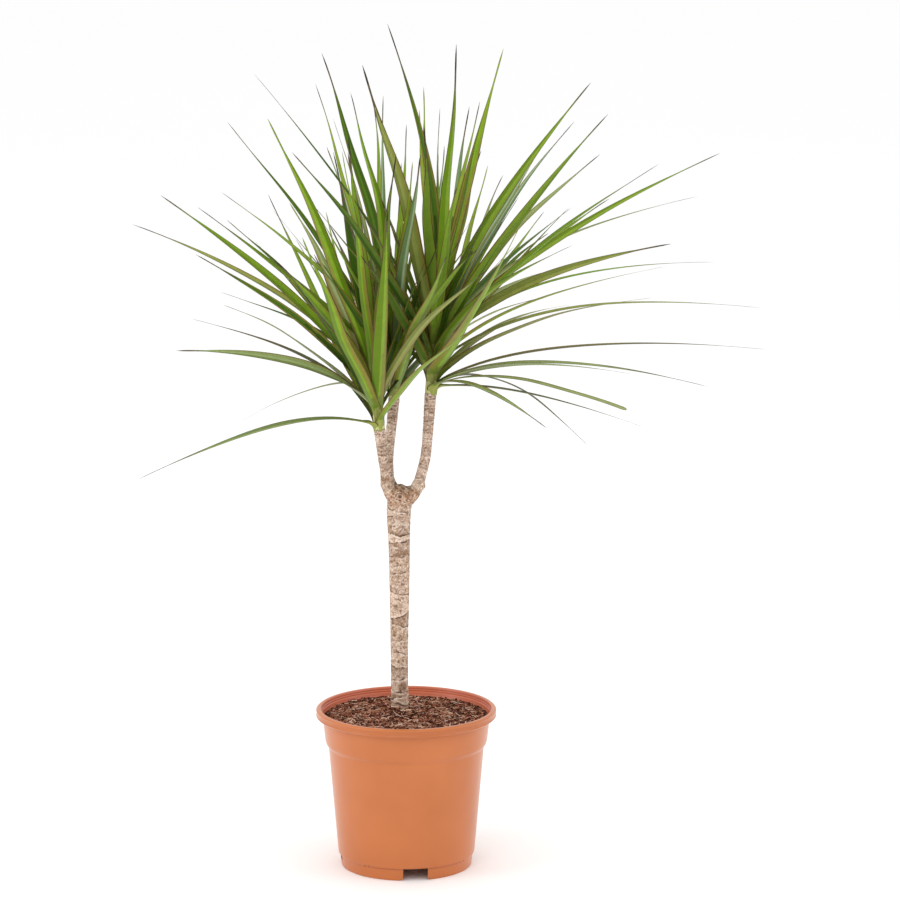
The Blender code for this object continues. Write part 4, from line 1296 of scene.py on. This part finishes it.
def fill_leaves(head, base, chance):
    leaves = []
    count = FILL[head]
    for i in range(count):
        rise = FILL_RISE[0] + (FILL_RISE[1] - FILL_RISE[0]) * i / (count - 1)
        round_share = (i * GOLDEN_ANGLE / 360.0) % 1.0
        forwards = rise > FILL_FRONT_RISE and round_share > 0.5
        spread = (round_share * 4.0 % 2.0) - 1.0
        bearing = (FILL_FRONT if forwards else FILL_BACK)[head] + spread * FILL_SPREAD
        slope = math.radians(rise)
        way = bearing_vector(bearing) * math.cos(slope) + UP * math.sin(slope)

        def tip_at(length, way=way):
            return base + way * length

        longest, shortest = FILL_LENGTHS
        length = longest + (shortest - longest) * i / (count - 1)
        length += chance.uniform(-FILL_LENGTH_SPREAD, FILL_LENGTH_SPREAD)
        arch = FILL_ARCH * length * math.cos(slope)
        width = chance.uniform(*FILL_WIDTHS)
        leaves.append(Leaf(head, tip_at, length, arch, width, chance.uniform(-0.5, 0.5)))
    return leaves


class Head:
    """A limb's leafy stem, counted in whorls."""

    def __init__(self, side):
        self.side = side
        x, y, z, _ = LIMBS[side][-1]
        self.foot = Vector((x, y, z))
        self.top = Vector(HEAD_TOPS[side])
        self.count = WHORLS[side]
        self.rise = self.top - self.foot
        self.step = self.rise.length / (self.count - 1 + LOWEST_SHARE)

    def at(self, height):
        return self.foot + self.rise.normalized() * height

    def floor(self, whorl):
        return 0.0 if whorl == 0 else (whorl - 1 + LOWEST_SHARE) * self.step

    def radius(self, whorl):
        share = whorl / (self.count - 1)
        return STEM_SWELL + (STEM_TIP - STEM_SWELL) * share

    def section(self, whorl):
        low = self.at(self.floor(whorl) + CLEAR)
        high = self.at(self.floor(whorl + 1))
        wide = self.radius(whorl)
        narrow = STEM_FOOT if whorl == 0 else wide
        sides = STEM_SIDES
        lean = UP.rotation_difference(self.rise)
        points = []
        for centre, radius in ((low, narrow), (high, wide - STEM_DRAW)):
            for k in range(sides):
                angle = 2 * math.pi * k / sides
                points.append(centre + lean @ Vector((math.cos(angle), math.sin(angle), 0.0)) * radius)
        faces = [(k, (k + 1) % sides, sides + (k + 1) % sides, sides + k) for k in range(sides)]
        faces.append(tuple(reversed(range(sides))))
        faces.append(tuple(range(sides, 2 * sides)))
        return points, faces

    def root(self, leaf):
        low = self.floor(leaf.whorl) + ROOT_MARGIN
        high = self.floor(leaf.whorl + 1) - 2 * ROOT_MARGIN
        return self.at(low + (high - low) * leaf.share), self.radius(leaf.whorl)


def deal_whorls(head, leaves):
    """The flattest leaves go to the lowest whorl, the steepest to the highest."""
    def steepness(leaf):
        path = leaf_path(head.at(head.rise.length / 2), STEM_SWELL, leaf.tip_at(leaf.reach), leaf.arch)
        return (path[2] - path[1]).normalized().z

    ranked = sorted(leaves, key=steepness)
    for place, leaf in enumerate(ranked):
        where = place * head.count / len(ranked)
        leaf.whorl = int(where)
        leaf.share = where - leaf.whorl


def touches(tree, outer, leaf, standing, fixed):
    own = (leaf.head, leaf.whorl)
    for whorl, other in fixed:
        if whorl != own and tree.overlap(other):
            return True
    for whorl, whole, free in standing:
        if whorl == own:
            if outer.overlap(free):
                return True
        elif tree.overlap(whole):
            return True
    return False


def grow(heads, fixed):
    """Every leaf that the solids have, each moved a little until it is clear of the others."""
    chance = random.Random(7)
    outline, filling = [], []
    for head in heads.values():
        base = head.at(head.rise.length / 2)
        seen = seen_leaves(head.side, base, chance)
        fill = fill_leaves(head.side, base, chance)
        deal_whorls(head, seen + fill)
        outline += seen
        filling += fill
    grown, standing = [], []
    for leaf in outline + filling:
        leaf.axis, leaf.radius = heads[leaf.head].root(leaf)
        for nudge in NUDGES:
            tip = leaf.tip_at(leaf.reach + nudge)
            points, faces = blade(leaf_path(leaf.axis, leaf.radius, tip, leaf.arch), leaf.width,
                                  leaf.turn, swollen=SWELLING)
            tree = tree_of(points, faces)
            outer = tree_of(points, faces, first_face=1 + 4 * FREE_FROM)
            if not touches(tree, outer, leaf, standing, fixed):
                leaf.tip = tip
                standing.append(((leaf.head, leaf.whorl), tree, outer))
                grown.append(leaf)
                break
    return grown


def extra_leaves(head, count, first_turn, rises, lengths, widths, stand, tone=None):
    """Leaves dealt round a head by the golden angle; stand is where they sit on its stem."""
    chance = random.Random(91 + count)
    leaves = []
    for i in range(count):
        share = i / (count - 1)
        rise = math.radians(rises[0] + (rises[1] - rises[0]) * share)
        way = bearing_vector(i * GOLDEN_ANGLE + first_turn) * math.cos(rise) + UP * math.sin(rise)
        length = (lengths[1] + (lengths[0] - lengths[1]) * share) * chance.uniform(0.85, 1.0)
        width = widths[1] + (widths[0] - widths[1]) * share
        leaf = Leaf(head.side, None, length, 0.03 * length, width, chance.uniform(-0.5, 0.5))
        leaf.axis = head.at(head.rise.length * (stand[0] + (stand[1] - stand[0]) * share))
        leaf.radius = STEM_TIP
        leaf.tip = leaf.axis + way * length
        leaf.tone = tone
        leaves.append(leaf)
    return leaves


def more_leaves(head):
    """What the solids leave out: young spears and the filling of the heart."""
    young = extra_leaves(head, YOUNG, 40.0, YOUNG_RISE, YOUNG_LENGTHS, YOUNG_WIDTHS, YOUNG_STAND)
    # The leaves in the heart take the deep tone as painted shade
    inner = extra_leaves(head, INNER, 200.0, INNER_RISE, INNER_LENGTHS, INNER_WIDTHS, INNER_STAND, "deep")
    return young + inner


# Leaves: the finer blade

def clasp_radius(leaf):
    return CLASP_RADII[0] + CLASP_RADII[1] * leaf.radius


def fine_path(leaf, head, chance):
    """Up the stem as a sheath, round the bend, then the bow with a slight wander."""
    _, bend, pull = bow_points(leaf.axis, clasp_radius(leaf), leaf.tip, leaf.arch)
    out = Vector((leaf.tip.x - leaf.axis.x, leaf.tip.y - leaf.axis.y, 0.0)).normalized()
    stem = head.rise.normalized()
    height = (leaf.axis - head.foot).dot(stem)
    drop = min(SHEATH_DROP, height + 2.0)
    start = leaf.axis - stem * drop + out * clasp_radius(leaf)
    first = along_bow(bend, pull, leaf.tip, BOW_FROM)
    ahead = (along_bow(bend, pull, leaf.tip, BOW_FROM + 0.01) - first).normalized()
    grip = (first - start).length * GRIP
    a, b = start + stem * grip, first - ahead * grip
    path = []
    for step in range(SHEATH_STATIONS):
        t = step / SHEATH_STATIONS
        low = start * (1 - t) ** 3 + a * 3 * t * (1 - t) ** 2
        path.append(low + b * 3 * t * t * (1 - t) + first * t ** 3)
    phase, waves = chance.uniform(0, 2 * math.pi), chance.uniform(0.8, 1.9)
    side = (leaf.tip - bend).cross(UP).normalized()
    wave = 0.0 if leaf.mark in WIDTH_SHARES else WAVE
    for step in range(BOW_STATIONS + 1):
        t = 1 - (1 - BOW_FROM) * (1 - step / BOW_STATIONS) ** 1.4
        sway = math.sin(math.pi * t ** 1.6) * math.sin(2 * math.pi * waves * t + phase)
        path.append(along_bow(bend, pull, leaf.tip, t) + side * (sway * wave * leaf.reach))
    return path


def smooth_step(x):
    x = min(max(x, 0.0), 1.0)
    return x * x * (3 - 2 * x)


def twisted(leaf, chance):
    """The blade's turn about its own line, as a function of the share of its length."""
    twist = chance.uniform(-TWIST, TWIST)
    if leaf.mark in TURNS:
        return lambda share: TURNS[leaf.mark] * smooth_step(share / TURNED_BY)
    return lambda share: leaf.turn * min(1.0, share / TURN_BY) + twist * smooth_step(share) ** 1.5


def half_width_at(leaf, share, run):
    """Half the blade's width, from a sheath round the stem to a hair, and how far it is sheath."""
    if leaf.mark in CUT_TIPS:
        width = (CUT_WIDTHS[0] + CUT_WIDTHS[1] * share) * min(1.0, 0.25 + (1 - share) * 60)
    else:
        width = swell(share / HAIR_FROM) if share < HAIR_FROM else 0.0
        width = max(width, HAIR_TIP * min(1.0, 0.15 + (1 - share) * 25))
    width *= leaf.width / 2 * SLIMMER * WIDTH_SHARES.get(leaf.mark, 1.0)
    clasp = smooth_step(1.0 - run / (SHEATH_DROP + CLASP_RUN))
    foot = FOOT_SHARE + (1 - FOOT_SHARE) * math.sqrt(min(1.0, run / FOOT_RUN))
    return width * (1 - clasp) + clasp_radius(leaf) * clasp * foot, clasp


def blade_lines(name, leaves, heads, chance):
    """A mesh of the leaves' middle lines, with all that the blade tree reads at each point."""
    points, edges = [], []
    facts = {"half_width": [], "fold": [], "root_mm": [], "tip_mm": [], "tone": [], "lot": []}
    ways, faces = [], []
    for leaf in leaves:
        path = fine_path(leaf, heads[leaf.head], chance)
        steps = [0.0]
        for low, high in zip(path, path[1:]):
            steps.append(steps[-1] + (high - low).length)
        total = steps[-1]
        tone = tone_of(leaf, chance)
        lot = LOTS_OF_LEAVES.get(leaf.mark, chance.random())
        turn_at = twisted(leaf, chance)
        out = Vector((leaf.tip.x - leaf.axis.x, leaf.tip.y - leaf.axis.y, 0.0)).normalized()
        first = len(points)
        for i, spot in enumerate(path):
            share = steps[i] / total
            along = (path[min(i + 1, len(path) - 1)] - path[max(i - 1, 0)]).normalized()
            across = (out if i < SHEATH_STATIONS else along).cross(UP).normalized()
            face = across.cross(along).normalized()
            across = along.cross(face)
            angle = turn_at(share)
            across, face = (across * math.cos(angle) + face * math.sin(angle),
                            face * math.cos(angle) - across * math.sin(angle))
            width, clasp = half_width_at(leaf, share, steps[i])
            points.append(spot * MM)
            if i:
                edges.append((first + i - 1, first + i))
            facts["half_width"].append(width * MM)
            facts["fold"].append(FOLD[0] + FOLD[1] * (1 - share) + FOLD[2] * clasp)
            facts["root_mm"].append(steps[i])
            facts["tip_mm"].append(total - steps[i] + (CUT_AWAY if leaf.mark in CUT_TIPS else 0.0))
            facts["tone"].append(float(tone))
            facts["lot"].append(lot)
            ways.append(-across)
            faces.append(face)
    mesh = bpy.data.meshes.new(name)
    mesh.from_pydata(points, edges, [])
    for key, values in facts.items():
        mesh.attributes.new(key, "FLOAT", "POINT").data.foreach_set("value", values)
    for key, values in (("across_way", ways), ("face_way", faces)):
        flat = np.array([tuple(v) for v in values], np.float32).ravel()
        mesh.attributes.new(key, "FLOAT_VECTOR", "POINT").data.foreach_set("vector", flat)
    return mesh_object(name, mesh)


def tone_of(leaf, chance):
    """Deep greens at the back, a painted shade, bright ones before, a painted light, dull ones low down,
    and the odd pale one.
    """
    draw = chance.random()
    name = leaf.tone or TONES_OF_LEAVES.get(leaf.mark)
    if not name:
        low_down = (leaf.tip - leaf.axis).normalized().z < LOW_STEEPNESS
        behind = leaf.tip.y - leaf.axis.y > BEHIND
        tones = LOW_TONES if low_down else BACK_TONES_PAINTED_SHADE if behind else FRONT_TONES_PAINTED_LIGHT
        name = next(tone for tone, top in tones if draw < top)
    return TONES.index(name)


def blend_of(low, high, share):
    return tuple(a + (b - a) * share for a, b in zip(low, high))


def leaf_finish(name, colour, rough=0.38, shine=0.07):
    """Satin leaf skin: one plain green, a touch deeper here and there."""
    finish = Finish(name, Metallic=0.0, Specular_IOR_Level=shine)
    deeper = blend_of(colour, SKIN_DEEP, 0.16)
    finish.set("Base Color", finish.mix(finish.cloud(11.0, 3.0).ramp(0.35, 0.7), colour, deeper))
    finish.set("Roughness", rough + 0.14 * finish.cloud(5.0, 2.0))
    return finish.made


def swept_blades(tree):
    """A lens section swept up each middle line, and folded along it."""
    half_width = tree.attribute("half_width")
    line = tree.node("GeometryNodeMeshToCurve", {}, {"Mesh": tree.geometry()})[0]
    line = tree.node("GeometryNodeSetCurveNormal", {"mode": "FREE"},
                     {"Curve": line, "Normal": tree.attribute("across_way", "FLOAT_VECTOR")})[0]
    ring = tree.node("GeometryNodeCurvePrimitiveCircle", {}, {"Resolution": 24, "Radius": 1.0})[0]
    place = tree.node("ShaderNodeSeparateXYZ", {}, {0: tree.node("GeometryNodeInputPosition")[0]})
    for name, value in (("across", place["X"]), ("above", place["Y"])):
        ring = tree.node("GeometryNodeStoreNamedAttribute", {"data_type": "FLOAT", "domain": "POINT"},
                         {"Geometry": ring, "Name": name, "Value": value})[0]
    thickness = tree.wants("Thickness", 0.055)
    flat = tree.node("ShaderNodeCombineXYZ", {}, {"X": 1.0, "Y": thickness, "Z": 1.0})[0]
    ring = tree.node("GeometryNodeTransform", {}, {"Geometry": ring, "Scale": flat})[0]
    skin = tree.node("GeometryNodeCurveToMesh", {}, {"Curve": line, "Profile Curve": ring,
                                                     "Fill Caps": True, "Scale": half_width})[0]
    rise = tree.attribute("fold") * half_width * (abs(tree.attribute("across")) ** 1.2)
    lift = tree.node("ShaderNodeVectorMath", {"operation": "SCALE"},
                     {0: tree.attribute("face_way", "FLOAT_VECTOR"), "Scale": rise})[0]
    return tree.node("GeometryNodeSetPosition", {}, {"Geometry": skin, "Offset": lift})[0]


def blade_parts(tree, tone):
    """Where each part of a blade's skin lies: across it, up it, and as its lot has it."""
    base_length = tree.wants("Base length mm", 30.0)
    upper_length = tree.wants("Upper length mm", 130.0)
    tip_length = tree.wants("Tip length mm", 25.0)
    heart_shade_length = tree.wants("Heart shade length mm", 80.0)
    root, tip, lot, side = (tree.attribute(name) for name in ("root_mm", "tip_mm", "lot", "across"))
    across = abs(side)
    other_lot = (lot * 7.0).fraction()
    third_lot = (lot * 31.0).fraction()
    inside = across < INSIDE_TO
    under = tree.attribute("above") < 0.0
    leaning = side * ((lot > 0.5) * 2.0 - 1.0)
    inner_edge = 0.18 + 0.50 * other_lot + root / 1200.0
    browning = (leaning + (third_lot > 0.7)) > 0.0
    withered = other_lot > 0.15
    tip_run = tip_length * (1.0 + 0.4 * (tone > 3.5) + 0.9 * (tone > 5.5))
    heart_shade_run = heart_shade_length * (0.5 + 0.7 * third_lot) * (1.5 - across)
    margin = across > MARGIN_FROM
    return {
        "under": under,
        "shade": (leaning < 0.05) * (third_lot < 0.75),
        # The lane lies on the half out of the painted shade: partly a pale stripe, partly a painted
        # highlight
        "lane": (abs(leaning - (0.25 - 0.5 * third_lot)) < 0.24) * (other_lot < 0.8),
        "flank": (across > inner_edge) * browning,
        "outer_flank": (across > inner_edge + 0.25) * browning,
        # Painted shade on the blades' feet deep in the head
        "heart": (root < heart_shade_run) * (1.0 - under) * inside,
        "base": (root < base_length * (0.75 + 0.5 * lot) * (1.3 - 0.8 * across)) * inside,
        "sheath": root < base_length * 0.42 * (1.2 - 0.6 * across),
        "margin": margin,
        "margin_upper": margin * (tip < upper_length * (0.4 + lot)),
        "tip_brown": (tip < tip_run * (1.0 + 1.8 * lot) * (0.55 + 0.75 * across)) * withered,
        "tip_dark": (tip < tip_run * (0.3 + 0.8 * lot) * (0.7 + 0.5 * across)) * withered,
    }


def blade_tree():
    """The blades, their skin dealt out to the materials of their tones and parts."""
    tree = Shape("sword_leaves")
    skin = swept_blades(tree)
    tone = tree.attribute("tone")
    parts = blade_parts(tree, tone)
    deals = []
    for number, name in enumerate(TONES):
        green, shine = LEAF_GREENS[name], SHINE[name]
        mine = abs(tone - float(number)) < 0.5
        deals.append((leaf_finish(f"leaf_{name}", green, shine=shine), mine if number else None))
        tints = dict(PART_TINTS, lane=(LANE_AND_HIGHLIGHT_TINTS[name], LANE_STRENGTH))
        for part in PARTS:
            if part != "heart" or name in SHADED_HEART_TONES:
                skin_colour = blend_of(green, *tints[part])
                deals.append((leaf_finish(f"leaf_{name}_{part}", skin_colour, shine=shine),
                              mine * parts[part]))
    for part, (colour, rough) in SHARED_PARTS.items():
        deals.append((leaf_finish(f"leaf_{part}", colour, rough), parts[part]))
    tree.finish(skin, deals)
    return tree


def make_stems(heads):
    """The pale green stem under each head's sheaths."""
    pieces = []
    for head in heads.values():
        stations = []
        for share, radius in SLIM_STEM:
            spot = head.at(head.rise.length * share + 0.2)
            stations.append((*spot, radius))
        pieces.append(tube(f"stem_{head.side}", stations, sides=24, resolution=4))
    stems = shaded(placed(joined("head_stems", pieces)), 50)
    stems.data.materials.append(leaf_finish("stem_green", STEM_PALE, 0.55))
    on_plant(stems, "leaves")


def make_leaves():
    heads = {side: Head(side) for side in LIMBS}
    fixed = []
    for side in LIMBS:
        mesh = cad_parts[f"limb_{side}"].data
        points = [(v.co - AXIS) / MM for v in mesh.vertices]
        fixed.append((None, tree_of(points, [tuple(p.vertices) for p in mesh.polygons])))
        for whorl in range(heads[side].count):
            fixed.append(((side, whorl), tree_of(*heads[side].section(whorl))))
    grown = grow(heads, fixed)
    print("leaves grown:", len(grown))
    chance = random.Random(43)
    tree = blade_tree()
    for side, head in heads.items():
        leaves = [leaf for leaf in grown if leaf.head == side] + more_leaves(head)
        lines = blade_lines(f"leaves_{side}", leaves, heads, chance)
        blades = shaded(placed(tree.grown_on(lines)), 40)
        on_plant(blades, "leaves", *(f"{side}_head_whorl_{n + 1}" for n in range(head.count)))
    make_stems(heads)


# Floor, light and camera

def make_floor():
    mesh = bpy.data.meshes.new("floor")
    reach = FLOOR_REACH
    corners = [(-reach, -reach, 0), (reach, -reach, 0), (reach, reach, 0), (-reach, reach, 0)]
    mesh.from_pydata(corners, [], [(0, 1, 2, 3)])
    floor = mesh_object("floor", mesh)
    finish = Finish("studio_floor", Roughness=0.9, Specular_IOR_Level=0.0)
    finish.set("Base Color", finish.mix(finish.cloud(900.0, 1.0), FLOOR_PALE, FLOOR_WHITE))
    floor.data.materials.append(finish.made)


def soft_box(name, place, size, power):
    lamp = bpy.data.lights.new(name, "AREA")
    lamp.shape = "RECTANGLE"
    lamp.size, lamp.size_y = size
    lamp.energy = power
    made = bpy.data.objects.new(name, lamp)
    bpy.context.scene.collection.objects.link(made)
    made.location = Vector(place)
    made.rotation_euler = (Vector(LIT_POINT) - Vector(place)).to_track_quat("-Z", "Y").to_euler()


def make_studio():
    make_floor()
    world = bpy.data.worlds.new("studio")
    world.use_nodes = True
    world.node_tree.nodes["Background"].inputs["Color"].default_value = (1.0, 1.0, 1.0, 1.0)
    world.node_tree.nodes["Background"].inputs["Strength"].default_value = 1.0
    bpy.context.scene.world = world
    for row in SOFT_BOXES:
        soft_box(*row)

    camera = bpy.data.cameras.new("camera")
    camera.sensor_width = 36.0
    camera.lens = CAMERA_LENS
    made = bpy.data.objects.new("camera", camera)
    bpy.context.scene.collection.objects.link(made)
    made.location = AXIS + Vector(CAMERA_AT) * MM
    made.rotation_euler = (math.radians(90 - CAMERA_PITCH), 0.0, 0.0)
    bpy.context.scene.camera = made
    bpy.context.scene.view_settings.view_transform = "Standard"


make_pot()
make_soil()
make_bark()
make_leaves()
make_studio()
